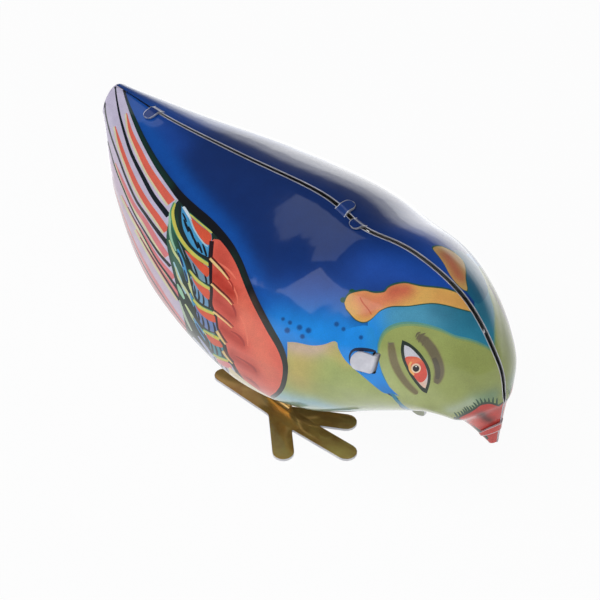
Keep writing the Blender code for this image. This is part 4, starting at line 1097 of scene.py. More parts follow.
def shell(name, side, corners, faces, top, holes):
    """One printed half: outer skin, bare inner skin and the sheet's edge, in one closed mesh."""
    middles = corners[faces].mean(axis=1)
    kept = np.ones(len(faces), dtype=bool)
    for hole in holes:
        kept &= ~inside(middles * METRIC, np.array(hole) * METRIC)
    faces, top = faces[kept], top[kept]
    outer = skin(corners[:, 0], corners[:, 1], side)
    normals = skin_normals(corners[:, 0], corners[:, 1], side)
    merged = np.arange(len(corners))
    for end in (-1, LAST + 1):
        at_end = np.flatnonzero(np.abs(corners[:, 0] - end) < END_ROOM)
        merged[at_end] = at_end[0]
    faces = merged[faces]
    whole = (faces[:, 0] != faces[:, 1]) & (faces[:, 1] != faces[:, 2]) & (faces[:, 2] != faces[:, 0])
    faces, top = faces[whole], top[whole]
    a, b, c = (outer[faces[:, step]] for step in range(3))
    turned = np.einsum("ij,ij->i", np.cross(b - a, c - a), normals[faces[:, 0]]) < 0
    faces[turned] = faces[turned][:, ::-1]
    used = np.unique(faces)
    index = np.full(len(corners), -1)
    index[used] = np.arange(len(used))
    faces = index[faces]
    count = len(used)
    outer, normals, places = outer[used], normals[used], corners[used]
    inner = outer - normals * WALL
    right_points = skin(places[:, 0], places[:, 1])

    directed = dict.fromkeys((face[step], face[(step + 1) % 3]) for face in faces for step in range(3))
    border = [pair for pair in directed if (pair[1], pair[0]) not in directed]
    rim = [(b, a, a + count, b + count) for a, b in border]
    points = np.vstack((outer, inner))
    all_faces = [*faces, *(face[::-1] + count for face in faces), *rim]
    mesh = bpy.data.meshes.new(name)
    mesh.from_pydata(points.tolist(), [], [[int(corner) for corner in face] for face in all_faces])

    colours = np.zeros((len(faces), 3, 4))
    for layer in np.unique(top):
        _, colour, sprays, _ = LAYERS[layer]
        chosen = np.flatnonzero(top == layer)
        unique, back = np.unique(faces[chosen].ravel(), return_inverse=True)
        tinted = sprayed(right_points[unique], colour, sprays)[back]
        colours[chosen, :, :3] = tinted.reshape(len(chosen), 3, 3)
    bare = np.tile(np.array((*BARE_TIN, 1.0)), (len(faces) * 3 + len(rim) * 4, 1))
    attribute = mesh.color_attributes.new("print", "FLOAT_COLOR", "CORNER")
    attribute.data.foreach_set("color", np.vstack((colours.reshape(-1, 4), bare)).ravel())

    rim_loops = []
    for quad in rim:
        way = np.cross(points[quad[1]] - points[quad[0]], points[quad[3]] - points[quad[0]])
        rim_loops += [way / max(np.linalg.norm(way), TINY)] * 4
    loops = np.vstack((normals[faces.ravel()], -normals[faces[:, ::-1].ravel()], np.array(rim_loops)))
    mesh.shade_smooth()
    mesh.normals_split_custom_set(loops.tolist())
    return placed(name, mesh)


# Bent and stamped sheet

# Tabs of the seam: thickness, and how far they lie over the skin and start below it
TAB_THICKNESS = 0.0003
TAB_LIFT = 0.00035
TAB_SINK = TAB_THICKNESS * 0.42
# Points across a tab, with narrow steps for its scraped edge, and rows along it from its root
TAB_SHARES = (-1, -0.86, -0.5, 0, 0.5, 0.86, 1)
TAB_ROOT = -0.0008
TAB_FIRST_ROWS = (TAB_ROOT, -0.0005, -0.0002, 0, 0.0003, 0.0006)
TAB_FLAT_FROM = 0.0009
TAB_RISE = 0.0010
TAB_ROUND_SHARE = 0.42
TAB_END_ANGLES = (18, 35, 50, 64, 87)
TAB_END_SHARE = 0.12
TAB_ROOT_WIDTH = 1.15
TAB_ROOT_TAPER = 0.15
# Raw edges: their height, and their section in shares of width and height
EDGE_HEIGHT = 0.00012
EDGE_SECTION = ((-0.02, -0.9), (-0.25, 0.5), (0.25, 1.0), (0.75, 0.85), (1.1, 0.1), (1.1, -0.9))
EDGE_ROWS = 14
EDGE_SHARP = 60
# Where the raw edges end along the body: in the tail's dome, past the beak and short of the opening
EDGE_TAIL_END = -0.9
EDGE_BEAK_END = LAST + 0.5
EDGE_SHORT = 0.02
# Width of the halves' raw edges at places along the body
EDGE_PLACES = (0.3, 3.0, 9.0)
EDGE_WIDTHS = {-1: (0.00008, 0.00007, 0.00005), 1: (0.00018, 0.00016, 0.00007)}
SIDES = ((-1, "right"), (1, "left"))
# Seam lines in fine steps, and the step from which the front of the body is searched for a height
FINE = np.linspace(0, LAST, 900)
FINE_FRONT = 400
BACK_LINE, BELLY_LINE, HALF_WIDTHS = sections_at(FINE)


def ride(obj, body, slot, *nodes):
    """A piece on its body, with the nodes it replaces hidden. The slot is not used."""
    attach(obj, body)
    if nodes:
        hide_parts(*nodes)
    return obj


def link_mesh(name, points, faces, sharp=40):
    """Smooth mesh object with its sharp corners kept."""
    mesh = bpy.data.meshes.new(name)
    mesh.from_pydata([tuple(map(float, point)) for point in points], [], faces)
    mesh.shade_smooth()
    mesh.set_sharp_from_angle(angle=math.radians(sharp))
    return placed(name, mesh)


def paint_faces(obj, count, width, colour):
    """Print colour on a bent sheet's first side within its scraped edge, and bare tin elsewhere."""
    mesh = obj.data
    values = np.tile(np.array((*BARE_TIN, BARE_SHARE)), (len(mesh.loops), 1))
    for i in range(count - 2):
        for face in mesh.polygons[i * (width - 1) + 1:(i + 1) * (width - 1) - 1]:
            values[face.loop_start:face.loop_start + face.loop_total] = (*colour, 0.0)
    attribute = mesh.color_attributes.new("print", "FLOAT_COLOR", "CORNER")
    attribute.data.foreach_set("color", values.ravel())


def bent_sheet(name, rows, thickness, colour=None):
    """Sheet around rows of points of its middle surface, its first side printed."""
    rows = np.array(rows, dtype=float)
    normals = unit(np.cross(np.gradient(rows, axis=0), np.gradient(rows, axis=1)))
    count, width = rows.shape[:2]
    size = count * width
    half = normals * thickness / 2
    points = np.vstack(((rows + half).reshape(-1, 3), (rows - half).reshape(-1, 3)))
    tops = []
    for i in range(count - 1):
        for corner in range(i * width, (i + 1) * width - 1):
            tops.append((corner, corner + width, corner + width + 1, corner + 1))
    lows = [tuple(corner + size for corner in face[::-1]) for face in tops]
    ring = [*range(width), *range(2 * width - 1, size, width)]
    ring += [*range(size - 2, size - width - 1, -1), *range(size - 2 * width, 0, -width)]
    sides = [(a, b, b + size, a + size) for a, b in zip(ring, ring[1:] + ring[:1])]
    obj = link_mesh(name, points, tops + lows + sides)
    if colour is not None:
        paint_faces(obj, count, width, colour)
    return obj


def over_seam(place, across, lift, belly=False):
    """Point near a seam: at a distance across it to the left, and lifted off the skin."""
    gap = float(gap_at(place)) / 2
    side = 1 if across >= 0 else -1
    width = float(np.interp(place, FINE, HALF_WIDTHS))
    power = (float(np.interp(place, BELLY_PLACES, BELLY_ROUNDNESS)) if belly else RIDGE_ROUNDNESS) / 2
    away = max(abs(across) - gap, 0)
    turn = math.asin(min(away / width, 1) ** power)
    turn = math.pi - turn if belly else turn
    where = np.array((place,)), np.array((turn,))
    point = skin(*where, side)[0]
    normal = skin_normals(*where, side)[0]
    share = min(abs(across) / gap, 1)
    normal[1] *= share
    normal /= np.linalg.norm(normal)
    lean = 0 if belly else float(step_aside(place))
    point[1] = TOY.y + across - lean if share < 1 else point[1]
    return point + normal * lift


def seam_tab(name, carrier, place, reach, width, colour, belly=False, stand=0):
    """Tab of one half folded over the seam onto the other half, or left standing, with a rounded end."""
    line = BELLY_LINE if belly else BACK_LINE
    step = 0.1
    (here, there), (up_here, up_there) = (
        [np.interp(place + ahead, FINE, line[:, axis]) for ahead in (0, step)] for axis in (0, 1)
    )
    per_metre = step / math.hypot(there - here, up_there - up_here)
    end = width * TAB_ROUND_SHARE
    round_from = reach - end
    distances = [*TAB_FIRST_ROWS, *np.linspace(TAB_FLAT_FROM, round_from, 3)]
    distances += [round_from + end * math.sin(math.radians(a)) for a in TAB_END_ANGLES]
    rows = []
    for distance in distances:
        rise = np.clip((distance - TAB_ROOT) / TAB_RISE, 0, 1)
        lift = -TAB_SINK + (TAB_LIFT + TAB_SINK) * rise**1.5
        over = max(distance - round_from, 0) / end
        half = width / 2 * max(math.sqrt(max(1 - over**2, 0)), TAB_END_SHARE)
        if distance < 0:
            half *= TAB_ROOT_WIDTH - TAB_ROOT_TAPER * (distance - TAB_ROOT) / -TAB_ROOT
        across, up = distance, lift
        if distance > 0:
            across, up = distance * math.cos(stand), lift + distance * math.sin(stand)
        row = []
        for share in TAB_SHARES:
            row.append(over_seam(place + half * share * per_metre, -carrier * across, up, belly))
        rows.append(row if (carrier > 0) != belly else row[::-1])
    obj = bent_sheet(name, rows, TAB_THICKNESS, colour)
    obj.data.materials.append(MATERIALS["printed_tin"])
    return ride(obj, "bird_body", "printed_tin")


def place_at(line, column, value):
    """Place along the body where a seam line passes a value."""
    start = FINE_FRONT if column else 0
    found = np.argmin(np.abs(line[start:, column] - value)) + start
    return float(FINE[found])


# Tabs of the seam: where they are along the body, the beak's by its height
TAIL_TAB_X = -0.0400
LEFT_TAB_X = 0.0096
RIGHT_TAB_X = 0.0054
THROAT_TAB_X = 0.0204
THROAT_TAB_STANDS = math.radians(80)
BEAK_TAB_HEIGHT = 0.0190


def seam_tabs():
    """All tabs at the seam: the half each belongs to, its place, length, width and colour."""
    tail, left, right = (place_at(BACK_LINE, 0, x) for x in (TAIL_TAB_X, LEFT_TAB_X, RIGHT_TAB_X))
    throat, beak = place_at(BELLY_LINE, 0, THROAT_TAB_X), place_at(BACK_LINE, 1, BEAK_TAB_HEIGHT)
    seam_tab("tail_tab", 1, tail, 0.0023, 0.0022, shown(30, 58, 124))
    seam_tab("left_back_tab", 1, left, 0.0015, 0.0024, NAVY)
    seam_tab("right_back_tab", -1, right, 0.0023, 0.0025, shown(30, 62, 128))
    seam_tab("throat_tab", -1, throat, 0.0040, 0.0038, TAB_OLIVE, True, THROAT_TAB_STANDS)
    seam_tab("beak_tab", 1, beak, 0.0022, 0.0017, BEAK_RED)


def seam_edges():
    """Raw cut edges of both halves, standing slightly proud along the whole seam."""
    rear, front = (belly_place(x, SEAM_SIDE)[0] for x in (OPENING_BACK_X, OPENING_FRONT_X))
    runs = {
        "back": (place_at(BACK_LINE, 0, TAIL_TAB_X), EDGE_BEAK_END, 0.0),
        "belly_rear": (EDGE_TAIL_END, rear - EDGE_SHORT, math.pi),
        "belly_front": (front + EDGE_SHORT, EDGE_BEAK_END, math.pi),
    }
    for side, word in SIDES:
        for run, (low, high, turn) in runs.items():
            places = np.linspace(low, high, int((high - low) * EDGE_ROWS) + 2)
            turns = np.full(len(places), turn)
            edge = skin(places, turns, side)
            normals = skin_normals(places, turns, side)
            normals[:, 1] = 0
            normals = unit(normals)
            wide = np.array((0, side, 0)) * np.interp(places, EDGE_PLACES, EDGE_WIDTHS[side])[:, None]
            rings = [edge + wide * a + normals * EDGE_HEIGHT * b for a, b in EDGE_SECTION]
            points = np.stack(rings, axis=1).reshape(-1, 3)
            count, width = len(places), len(EDGE_SECTION)
            faces = []
            for i in range(count - 1):
                for j in range(width):
                    k = (j + 1) % width
                    faces.append((i * width + j, i * width + k, (i + 1) * width + k, (i + 1) * width + j))
            faces += [tuple(range(width))[::-1], tuple(range((count - 1) * width, count * width))]
            if side < 0:
                faces = [face[::-1] for face in faces]
            obj = link_mesh(f"{word}_seam_edge_{run}", points, faces, EDGE_SHARP)
            obj.data.materials.append(MATERIALS["cut_edge"])
            ride(obj, "bird_body", "plate_steel")


STAMP_BEVEL = 0.00006
STAMP_MERGE = 0.000004
STAMP_SHARP = math.radians(50)
FLAT_SIDE = 0.8


def stamped(name, loops, thickness, place, upright=True):
    """Flat stamped piece with eased edges: outline and holes as loops in its own plane."""
    curve = bpy.data.curves.new(name, "CURVE")
    curve.dimensions = "2D"
    curve.fill_mode = "BOTH"
    curve.extrude = thickness / 2 - STAMP_BEVEL
    curve.bevel_depth = STAMP_BEVEL
    curve.bevel_resolution = 1
    curve.offset = -STAMP_BEVEL
    for loop in loops:
        spline = curve.splines.new("POLY")
        spline.points.add(len(loop) - 1)
        for point, (along, up) in zip(spline.points, loop):
            point.co = (along, up, 0, 1)
        spline.use_cyclic_u = True
    shape = placed(name, curve)
    mesh = bpy.data.meshes.new_from_object(shape.evaluated_get(bpy.context.evaluated_depsgraph_get()))
    bpy.data.objects.remove(shape)
    turn = Matrix.Rotation(math.radians(90), 4, "X") if upright else Matrix.Identity(4)
    mesh.transform(Matrix.Translation(place) @ turn)
    work = bmesh.new()
    work.from_mesh(mesh)
    bmesh.ops.remove_doubles(work, verts=work.verts, dist=STAMP_MERGE)
    bmesh.ops.recalc_face_normals(work, faces=work.faces)
    work.to_mesh(mesh)
    work.free()
    mesh.name = name
    mesh.shade_smooth()
    mesh.set_sharp_from_angle(angle=STAMP_SHARP)
    return placed(name, mesh)


def cut_edges(obj, main, way):
    """Lacquer on the sheet's flat sides and bare metal on its cut edges."""
    obj.data.materials.clear()
    obj.data.materials.append(MATERIALS[main])
    obj.data.materials.append(MATERIALS["cut_edge"])
    for face in obj.data.polygons:
        face.material_index = 0 if abs(face.normal.dot(way)) > FLAT_SIDE else 1


def hull(*discs):
    """Outline of a strap drawn tight around discs given as (centre, radius)."""
    found = set()
    for centre, radius in discs:
        found.update(circle(centre, radius, 28) if radius else [tuple(centre)])
    ordered = sorted(found)
    chains = []
    for run in (ordered, ordered[::-1]):
        chain = []
        for point in run:
            while len(chain) > 1:
                (ax, ay), (bx, by) = chain[-2:]
                if (bx - ax) * (point[1] - ay) - (by - ay) * (point[0] - ax) > 0:
                    break
                chain.pop()
            chain.append(point)
        chains += chain[:-1]
    return chains


def centre_of(node):
    """Middle of a node's box in the side view."""
    low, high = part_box(node)
    return ((low[0] + high[0]) / 2, (low[2] + high[2]) / 2)


# Movement plates

PLATE_INNER = 0.0065
PLATE_REACH = 0.0031
AXLE_REACH = 0.0022
HOLE_ROOM = 0.00025
# Radii of the plates' holes, where they differ by side, and of the others
WINDING_HOLE = {-1: 0.00125, 1: 0.00175}
CRANK_HOLE = {-1: 0.0008, 1: 0.00105}
SECOND_HOLE = 0.0008
AXLE_HOLE = 0.00125
PILLAR_HOLE = 0.00095
# Round window ahead of the clockwork
WINDOW = (0.0150 + TOY.x, 0.0227)
WINDOW_RADIUS = 0.0032
# Neck tab: rows inside, by how far behind the slot and outside the plate, and shares of the way out,
# then its part outside, its bend and its rounded end
NECK_TAB_INSIDE = ((-0.0012, 0), (-0.0003, 0), (0, 0.0004))
NECK_TAB_OUTWARD = (0.35, 0.7)
NECK_TAB_FLAT = (0.4, 0.75, 1)
NECK_TAB_END_ANGLES = (25, 48, 68, 85)
NECK_TAB_SHOWN = 0.0033
NECK_TAB_BEND = 0.00030
NECK_TAB_THINNED = 0.8
NECK_TAB_ROUND_SHARE = 0.8
NECK_TAB_END_SHARE = 0.15
NECK_TAB_LIFT = 0.6


def movement_plates():
    """Both plates with their holes and the rounded neck tab bent back over the skin."""
    axle, crank = centre_of("leg_axle"), centre_of("crank_arbor")
    winding, second = centre_of("winding_arbor"), centre_of("second_arbor")
    pillars = [centre_of(f"plate_pillar_{word}") for word in ("rear", "top", "front", "lower")]
    for side, word in SIDES:
        root = (NECK_TAB_X + TOY.x - NECK_TAB_WIDTH / 2 - HOLE_ROOM, NECK_TAB_Z[side])
        discs = [(centre, PLATE_REACH) for centre in pillars]
        discs += [(axle, AXLE_REACH), (root, NECK_TAB_WIDTH / 2 + HOLE_ROOM)]
        loops = [hull(*discs), circle(winding, WINDING_HOLE[side]), circle(second, SECOND_HOLE)]
        loops += [circle(crank, CRANK_HOLE[side]), circle(axle, AXLE_HOLE)]
        loops += [circle(centre, PILLAR_HOLE) for centre in pillars]
        loops.append(circle(WINDOW, WINDOW_RADIUS))
        middle = TOY.y + side * (PLATE_INNER + PLATE_THICKNESS / 2)
        obj = stamped(f"{word}_plate", loops, PLATE_THICKNESS, (0, middle, 0))
        cut_edges(obj, "plate_steel", Vector((0, 1, 0)))
        ride(obj, "bird_body", "plate_steel", f"{word}_movement_plate")
        neck_tab(f"{word}_neck_tab", side, middle)


def skin_at(x, z, side):
    """Skin point and outward direction at a point of the side view."""
    where = [np.array((value,)) for value in side_place(x, z)]
    return skin(*where, side)[0], skin_normals(*where, side)[0]


def neck_tab(name, side, plate_y):
    """Tab from the plate, out through its slot and folded back with a rounded end."""
    thickness = PLATE_THICKNESS * NECK_TAB_THINNED
    slot_x = NECK_TAB_X + TOY.x
    half = NECK_TAB_WIDTH / 2
    shares = np.linspace(-1, 1, 9)
    heights = NECK_TAB_Z[side] + half * shares
    away = abs(plate_y - TOY.y)
    top = max(abs(skin_at(slot_x, z, side)[0][1] - TOY.y) for z in heights)
    inside_rows = [(slot_x + behind, away + out) for behind, out in NECK_TAB_INSIDE]
    inside_rows += [(slot_x, away + (top - away) * share) for share in NECK_TAB_OUTWARD]
    rows = [[(x, TOY.y + side * y, z) for z in heights] for x, y in inside_rows]
    bend = NECK_TAB_BEND
    for degrees in (0, 30, 60, 90):
        angle = math.radians(degrees)
        row = []
        for z in heights:
            point, way = skin_at(slot_x, z, side)
            base = point + way * thickness * NECK_TAB_LIFT
            row.append((slot_x - bend + bend * math.cos(angle), base[1] + side * bend * math.sin(angle), z))
        rows.append(row)
    end = half * NECK_TAB_ROUND_SHARE
    round_from = NECK_TAB_SHOWN - end
    reaches = [round_from * share for share in NECK_TAB_FLAT]
    reaches += [round_from + end * math.sin(math.radians(a)) for a in NECK_TAB_END_ANGLES]
    for reach in reaches:
        over = max(reach - round_from, 0) / end
        narrow = max(math.sqrt(max(1 - over**2, 0)), NECK_TAB_END_SHARE)
        row = []
        for share in shares:
            x, z = slot_x - reach, NECK_TAB_Z[side] + half * share * narrow
            point, way = skin_at(x, z, side)
            row.append(point + way * (thickness * NECK_TAB_LIFT + bend / 2))
        rows.append(row)
    obj = bent_sheet(name, rows if side < 0 else [row[::-1] for row in rows], thickness)
    # painted highlight: the tab's tinplate is lighter than the plate it is cut from
    obj.data.materials.append(MATERIALS["tab_tin"])
    ride(obj, "bird_body", "plate_steel")


# Legs

SHEET = 0.0005
FOOT_SPREAD = 0.0100
LEG_INNER = 0.00775
LEG_BEND = 0.0010
LEG_FOOT_WIDTH = 0.0054
LEG_EYE = 0.0024
AXLE = Vector((0.003, TOY.y, 0.012))
# Bent part between leg and foot: half its width as a share, its ends, its fullness and thickness
LEG_BEND_WIDTH = 0.495
LEG_BEND_ABOVE = 0.0001
LEG_BEND_SHORT = 0.0008
LEG_BEND_FULL = 0.0002
LEG_BEND_THINNED = 0.98
# Toes: angle, length, half width, and how far the notches between them are eased
TOES = ((-178, 0.0146, 0.0016), (-39.5, 0.0112, 0.0018), (6, 0.0163, 0.0018), (34.5, 0.0132, 0.0018))
NOTCH_EASE = 0.0004


def toe_outline():
    """Outline of a foot seen from above: round-ended toes that meet in small round notches."""
    outline = []
    for index, (angle, length, half) in enumerate(TOES):
        following, _, next_half = TOES[(index + 1) % len(TOES)]
        between = math.radians((following - angle) % 360)
        angle = math.radians(angle)
        for step in range(9):
            spread = angle - math.pi / 2 + math.pi * step / 8
            tip = (length - half) * math.cos(angle), (length - half) * math.sin(angle)
            outline.append((tip[0] + half * math.cos(spread), tip[1] + half * math.sin(spread)))
        side = Vector((math.cos(angle), math.sin(angle)))
        far = Vector((math.cos(angle + between), math.sin(angle + between)))
        cross = side.x * far.y - side.y * far.x
        reach = (half * side.dot(far) + next_half) / cross
        notch = side * reach + Vector((-side.y, side.x)) * half
        ease = NOTCH_EASE
        outline += [tuple(notch + way * ease) for way in (side, (side + far) * 0.3, far)]
    return outline


def legs():
    """Both stamped feet with the leg bent up from each to its eye on the axle."""
    for side, word in SIDES:
        outline = [(TOY.x + x, TOY.y + side * (FOOT_SPREAD - y)) for x, y in toe_outline()]
        foot = stamped(f"{word}_foot", [outline], SHEET, (0, 0, SHEET / 2), upright=False)
        cut_edges(foot, "gold_lacquer", Vector((0, 0, 1)))
        ride(foot, "leg_set", "gold_lacquer", f"{word}_leg")
        ankle = SHEET + LEG_BEND
        corners = [((AXLE.x + way * LEG_FOOT_WIDTH / 2, ankle), 0) for way in (-1, 1)]
        loops = [hull(((AXLE.x, AXLE.z), LEG_EYE), *corners), circle((AXLE.x, AXLE.z), AXLE_HOLE)]
        strap = stamped(f"{word}_leg_strap", loops, SHEET, (0, TOY.y + side * LEG_INNER, 0))
        cut_edges(strap, "gold_lacquer", Vector((0, 1, 0)))
        ride(strap, "leg_set", "gold_lacquer")
        path = [(LEG_INNER, ankle + LEG_BEND_ABOVE)]
        for degrees in (0, 18, 36, 54, 72, 90):
            angle = math.radians(degrees)
            height = SHEET / 2 + LEG_BEND * (1 - math.sin(angle)) + LEG_BEND_FULL * math.cos(angle)
            path.append((LEG_INNER + LEG_BEND * (1 - math.cos(angle)), height))
        path.append((FOOT_SPREAD - LEG_BEND_SHORT, SHEET / 2))
        shares = np.linspace(-LEG_BEND_WIDTH, LEG_BEND_WIDTH, 5)[::side]
        rows = [
            [(AXLE.x + LEG_FOOT_WIDTH * share, TOY.y + side * y, z) for share in shares] for y, z in path
        ]
        bend = bent_sheet(f"{word}_leg_bend", rows, SHEET * LEG_BEND_THINNED)
        bend.data.materials.append(MATERIALS["gold_lacquer"])
        ride(bend, "leg_set", "gold_lacquer")


# Materials

# Sockets of a colour mix
MIX_FIRST = 6
MIX_SECOND = 7
MIX_RESULT = 2


def grey(level):
    """Equal red, green and blue."""
    return level, level, level


def set_ramp(node, low, high, start, end):
    """Positions and colours of a ramp's two ends."""
    for element, position, colour in zip(node.color_ramp.elements, (low, high), (start, end)):
        element.position = position
        element.color = colour


class Nodes:
    """Small helper that adds and links a material's nodes."""

    def __init__(self, name):
        self.material = bpy.data.materials.new(name)
        self.material.use_nodes = True
        self.tree = self.material.node_tree
        self.shader = self.tree.nodes["Principled BSDF"]

    def add(self, kind, **values):
        """A node with its inputs and properties set."""
        node = self.tree.nodes.new(f"ShaderNode{kind}")
        for key, value in values.items():
            if key in node.inputs:
                node.inputs[key].default_value = value
            else:
                setattr(node, key, value)
        return node

    def link(self, source, output, target, socket):
        """Link one node's output to another's input."""
        self.tree.links.new(source.outputs[output], target.inputs[socket])

    def coordinates(self):
        """Texture coordinates, added once."""
        if not hasattr(self, "where"):
            self.where = self.add("TexCoord")
        return self.where

    def noise(self, scale, detail, roughness):
        """Noise texture over the object's own coordinates."""
        node = self.add("TexNoise", Scale=scale, Detail=detail, Roughness=roughness)
        self.link(self.coordinates(), "Object", node, "Vector")
        return node

    def stretched_noise(self, scales, detail, roughness):
        """Noise texture over the object's own coordinates, with a scale for each axis."""
        mapping = self.add("Mapping", Scale=scales)
        self.link(self.coordinates(), "Object", mapping, "Vector")
        node = self.add("TexNoise", Scale=1.0, Detail=detail, Roughness=roughness)
        self.link(mapping, "Vector", node, "Vector")
        return node

    def ramp(self, source, low, high, start, end):
        """Colour ramp between two positions of a noise."""
        node = self.add("ValToRGB")
        set_ramp(node, low, high, (*start, 1), (*end, 1))
        self.link(source, "Fac", node, "Fac")
        return node

    def multiplied(self, source, output, ramp):
        """A colour times a ramp's."""
        node = self.add("Mix", data_type="RGBA", blend_type="MULTIPLY")
        node.inputs["Factor"].default_value = 1
        self.link(source, output, node, MIX_FIRST)
        self.link(ramp, "Color", node, MIX_SECOND)
        return node

    def bump(self, source, strength, distance, before=None):
        """Bump from a noise, over the one before it."""
        node = self.add("Bump", Strength=strength, Distance=distance)
        self.link(source, "Fac", node, "Height")
        if before:
            self.link(before, "Normal", node, "Normal")
        return node

    def set(self, **values):
        """Values on the shader's own sockets."""
        for key, value in values.items():
            self.shader.inputs[key.replace("_", " ")].default_value = value
        return self


def printed_tin():
    """Lacquered print: colours of the mesh, ink grain, fine scratches, and bare tin where marked."""
    work = Nodes("printed tin")
    colour = work.add("Attribute", attribute_name="print")
    grain = work.noise(9000, 2.0, 0.6)
    grain_ramp = work.ramp(grain, 0.3, 0.7, grey(0.86), grey(1.12))
    cloud_ramp = work.ramp(work.noise(420, 3.0, 0.55), 0.3, 0.7, (0.93, 0.93, 0.94), (1.06, 1.06, 1.05))
    grained = work.multiplied(colour, "Color", grain_ramp)
    clouded = work.multiplied(grained, MIX_RESULT, cloud_ramp)
    work.link(clouded, MIX_RESULT, work.shader, "Base Color")
    work.link(colour, "Alpha", work.shader, "Metallic")
    scratches = work.stretched_noise((900, 5200, 5200), 4.0, 0.6)
    work.link(work.ramp(scratches, 0.35, 0.75, grey(0.30), grey(0.44)), "Color", work.shader, "Roughness")
    bump = work.bump(work.noise(160, 2.0, 0.5), 0.12, 0.0006)
    fine = work.bump(grain, 0.04, 0.00002, bump)
    work.link(fine, "Normal", work.shader, "Normal")
    work.set(Coat_Weight=1.0, Coat_Roughness=0.07, Coat_IOR=1.42, Specular_IOR_Level=0.1)
    work.link(bump, "Normal", work.shader, "Coat Normal")
    return work.material


def sheet_metal(name, colour, dark, roughness, scales, coat=0.0, metallic=1.0):
    """Rolled or turned metal: fine drawn lines, dull patches and small pits."""
    work = Nodes(name)
    lines = work.stretched_noise(scales, 5.0, 0.65)
    cloud = work.noise(300, 3.0, 0.6)
    work.link(work.ramp(cloud, 0.28, 0.72, dark, colour), "Color", work.shader, "Base Color")
    rough = work.ramp(lines, 0.3, 0.7, *map(grey, roughness))
    work.link(rough, "Color", work.shader, "Roughness")
    pits = work.bump(cloud, 0.08, 0.0002, work.bump(lines, 0.10, 0.00003))
    work.link(pits, "Normal", work.shader, "Normal")
    work.set(Metallic=metallic, Coat_Weight=coat, Coat_Roughness=0.12)
    return work.material


# Metals by slot: name, bright and dark colour, roughness, fineness along each axis, gloss coat, metallic
METALS = {
    "gold_lacquer": (
        "gold lacquer", (234, 196, 104), (204, 152, 78), (0.10, 0.18), (500, 500, 500), 0.4, 0.6,
    ),
    "plate_steel": ("rolled tinplate", (196, 196, 198), (150, 150, 152), (0.26, 0.42), (350, 350, 5200)),
    "turned_steel": ("turned steel", (190, 190, 192), (146, 146, 150), (0.22, 0.36), (900, 5200, 900)),
    "key_steel": ("plated steel", (206, 204, 200), (168, 166, 162), (0.16, 0.30), (600, 600, 600)),
    "spring_steel": ("blued steel", (96, 104, 128), (62, 66, 84), (0.20, 0.34), (700, 6000, 700)),
    "cut_edge": (
        "cut edge of tin", (222, 222, 226), (184, 182, 186), (0.26, 0.42), (2600, 2600, 2600), 0.0, 0.55,
    ),
    # painted highlight: the neck tab is the plates' own tinplate, made lighter for the light it catches
    # outside the body
    "tab_tin": (
        "bright tinplate", (232, 232, 238), (190, 190, 200), (0.28, 0.44), (350, 350, 5200), 0.0, 0.45,
    ),
    "wheel_brass": ("stamped brass", (214, 174, 92), (168, 128, 60), (0.20, 0.34), (900, 5200, 900)),
}
MATERIALS = {"printed_tin": printed_tin()}
for slot, (title, bright, dark, *values) in METALS.items():
    MATERIALS[slot] = sheet_metal(title, shown(*bright), shown(*dark), *values)


def dress_frame():
    """Materials for the frame's own pieces, by their slot in the record."""
    for entry in frame["record"]["subparts"]:
        obj = frame["nodes"][entry["node"]]
        obj.data.materials.clear()
        obj.data.materials.append(MATERIALS[entry["material_slot"]])


def body_shells():
    """Both printed halves."""
    holes = {-1: [belly_hole(), neck_hole(-1)], 1: [belly_hole(), neck_hole(1), key_hole()]}
    cuts = [np.array(hole) for hole in (holes[-1] + holes[1][1:])]
    corners, faces = print_mesh(cuts)
    for name, node, side in (("right_shell", "right_body_half", -1), ("left_shell", "left_body_half", 1)):
        top = layer_of(corners[faces].mean(axis=1), side)
        obj = shell(name, side, corners, faces.copy(), top, holes[side])
        obj.data.materials.append(MATERIALS["printed_tin"])
        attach(obj, "bird_body")
        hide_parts(node)


# Stage

FLOOR_HALF = 1.2
FLOOR_GLOW = 0.95
# Backdrop and ceiling: colours, and where between level and straight up one fades into the other
HORIZON = (1.0, 1.0, 1.0, 1)
CEILING = (0.08, 0.085, 0.10, 1)
HORIZON_TOP = 0.0
CEILING_START = 0.12
LAMP_AIM = Vector((0.0, 0.0, 0.02))
# Lamps: direction, distance, size, power, colour, whether the gloss shows them
LAMPS = {
    "lamp over the tail": ((-0.60, -0.06, 0.78), 0.70, (0.50, 0.24), 0.40, (0.78, 0.84, 1.0), True),
    "lamp at the right": ((-0.373, -0.741, 0.563), 0.70, (0.37, 0.33), 0.70, (0.88, 0.90, 1.0), True),
    "soft light over the toy": ((0.20, -0.40, 0.89), 0.90, (0.90, 0.90), 4.6, (1.0, 1.0, 1.0), False),
    "soft light in front": ((0.75, -0.60, 0.30), 0.90, (0.70, 0.70), 1.6, (1.0, 1.0, 1.0), False),
}
# Bright table top behind the toy, which only the gloss shows
TABLE_NEAR = 0.050
TABLE_SIZE = (1.00, 0.30)
TABLE_SHIFT = 0.43
TABLE_HEIGHT = 0.002
TABLE_POWER = 0.52


def seen_by_rays(work):
    """Node whose value is one for camera, glossy and transmission rays."""
    path = work.add("LightPath")
    first = work.add("Math", operation="MAXIMUM")
    second = work.add("Math", operation="MAXIMUM")
    work.link(path, "Is Camera Ray", first, 0)
    work.link(path, "Is Glossy Ray", first, 1)
    work.link(first, "Value", second, 0)
    work.link(path, "Is Transmission Ray", second, 1)
    return second


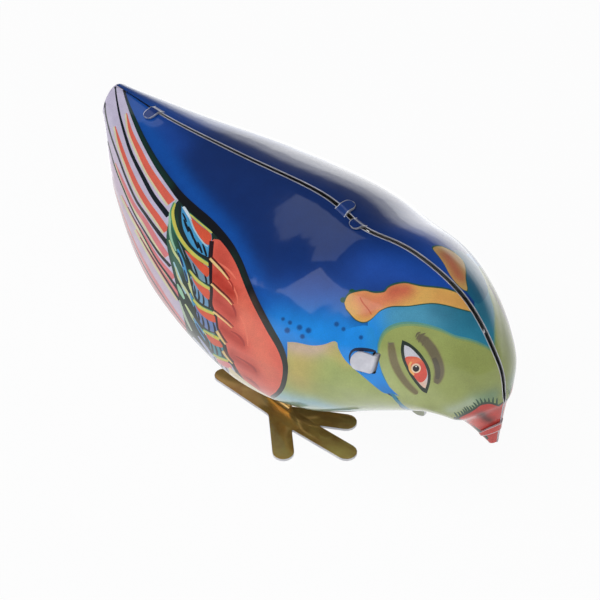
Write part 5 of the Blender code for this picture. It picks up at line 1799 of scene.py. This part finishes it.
def make_floor():
    """White floor that keeps the toy's shadow."""
    mesh = bpy.data.meshes.new("floor")
    half = FLOOR_HALF
    mesh.from_pydata(
        [(-half, -half, 0), (half, -half, 0), (half, half, 0), (-half, half, 0)], [], [(0, 1, 2, 3)],
    )
    floor = placed("floor", mesh)
    work = Nodes("white floor")
    work.set(Base_Color=(0.9, 0.9, 0.9, 1), Roughness=0.8, Specular_IOR_Level=0.0)
    glow = work.add("Emission", Strength=1.0)
    part = work.add("Math", operation="MULTIPLY")
    part.inputs[1].default_value = FLOOR_GLOW
    work.link(seen_by_rays(work), "Value", part, 0)
    mix = work.add("MixShader")
    work.link(part, "Value", mix, "Fac")
    work.link(work.shader, "BSDF", mix, 1)
    work.link(glow, "Emission", mix, 2)
    work.link(mix, "Shader", work.tree.nodes["Material Output"], "Surface")
    mesh.materials.append(work.material)


def make_world():
    """Studio: white backdrop round the horizon under a dark ceiling."""
    world = bpy.data.worlds.new("studio")
    world.use_nodes = True
    tree = world.node_tree
    where = tree.nodes.new("ShaderNodeTexCoord")
    split = tree.nodes.new("ShaderNodeSeparateXYZ")
    ramp = tree.nodes.new("ShaderNodeValToRGB")
    set_ramp(ramp, HORIZON_TOP, CEILING_START, HORIZON, CEILING)
    tree.links.new(where.outputs["Generated"], split.inputs["Vector"])
    tree.links.new(split.outputs["Z"], ramp.inputs["Fac"])
    tree.links.new(ramp.outputs["Color"], tree.nodes["Background"].inputs["Color"])
    bpy.context.scene.world = world


def area_lamp(name, size, power):
    """A flat lamp that the camera doesn't show."""
    data = bpy.data.lights.new(name, "AREA")
    data.shape = "RECTANGLE"
    data.size, data.size_y = size
    data.energy = power
    lamp = placed(name, data)
    lamp.visible_camera = False
    return lamp


def make_lamps():
    """Two lamps that the gloss shows, and soft light that it doesn't."""
    for name, (way, distance, size, power, colour, shown_in_gloss) in LAMPS.items():
        lamp = area_lamp(name, size, power)
        lamp.data.color = colour
        lamp.location = LAMP_AIM + Vector(way).normalized() * distance
        lamp.rotation_euler = Vector(way).to_track_quat("Z", "Y").to_euler()
        lamp.visible_glossy = shown_in_gloss


def table_glow():
    """Brightly lit table behind the toy, mirrored in the far edge of its gloss."""
    lamp = area_lamp("bright table behind", TABLE_SIZE, TABLE_POWER)
    away = Vector((-TOWARD.x, -TOWARD.y, 0)).normalized()
    near = TOY + away * (TABLE_NEAR + TABLE_SIZE[1] / 2)
    lamp.location = near + RIGHT * TABLE_SHIFT + Vector((0, 0, TABLE_HEIGHT))
    lamp.rotation_euler = (math.pi, 0, math.atan2(-away.x, away.y))
    lamp.visible_diffuse = False


make_camera()
dress_frame()
body_shells()
seam_edges()
seam_tabs()
movement_plates()
legs()
make_floor()
make_world()
make_lamps()
table_glow()
bpy.context.scene.view_settings.view_transform = "Standard"
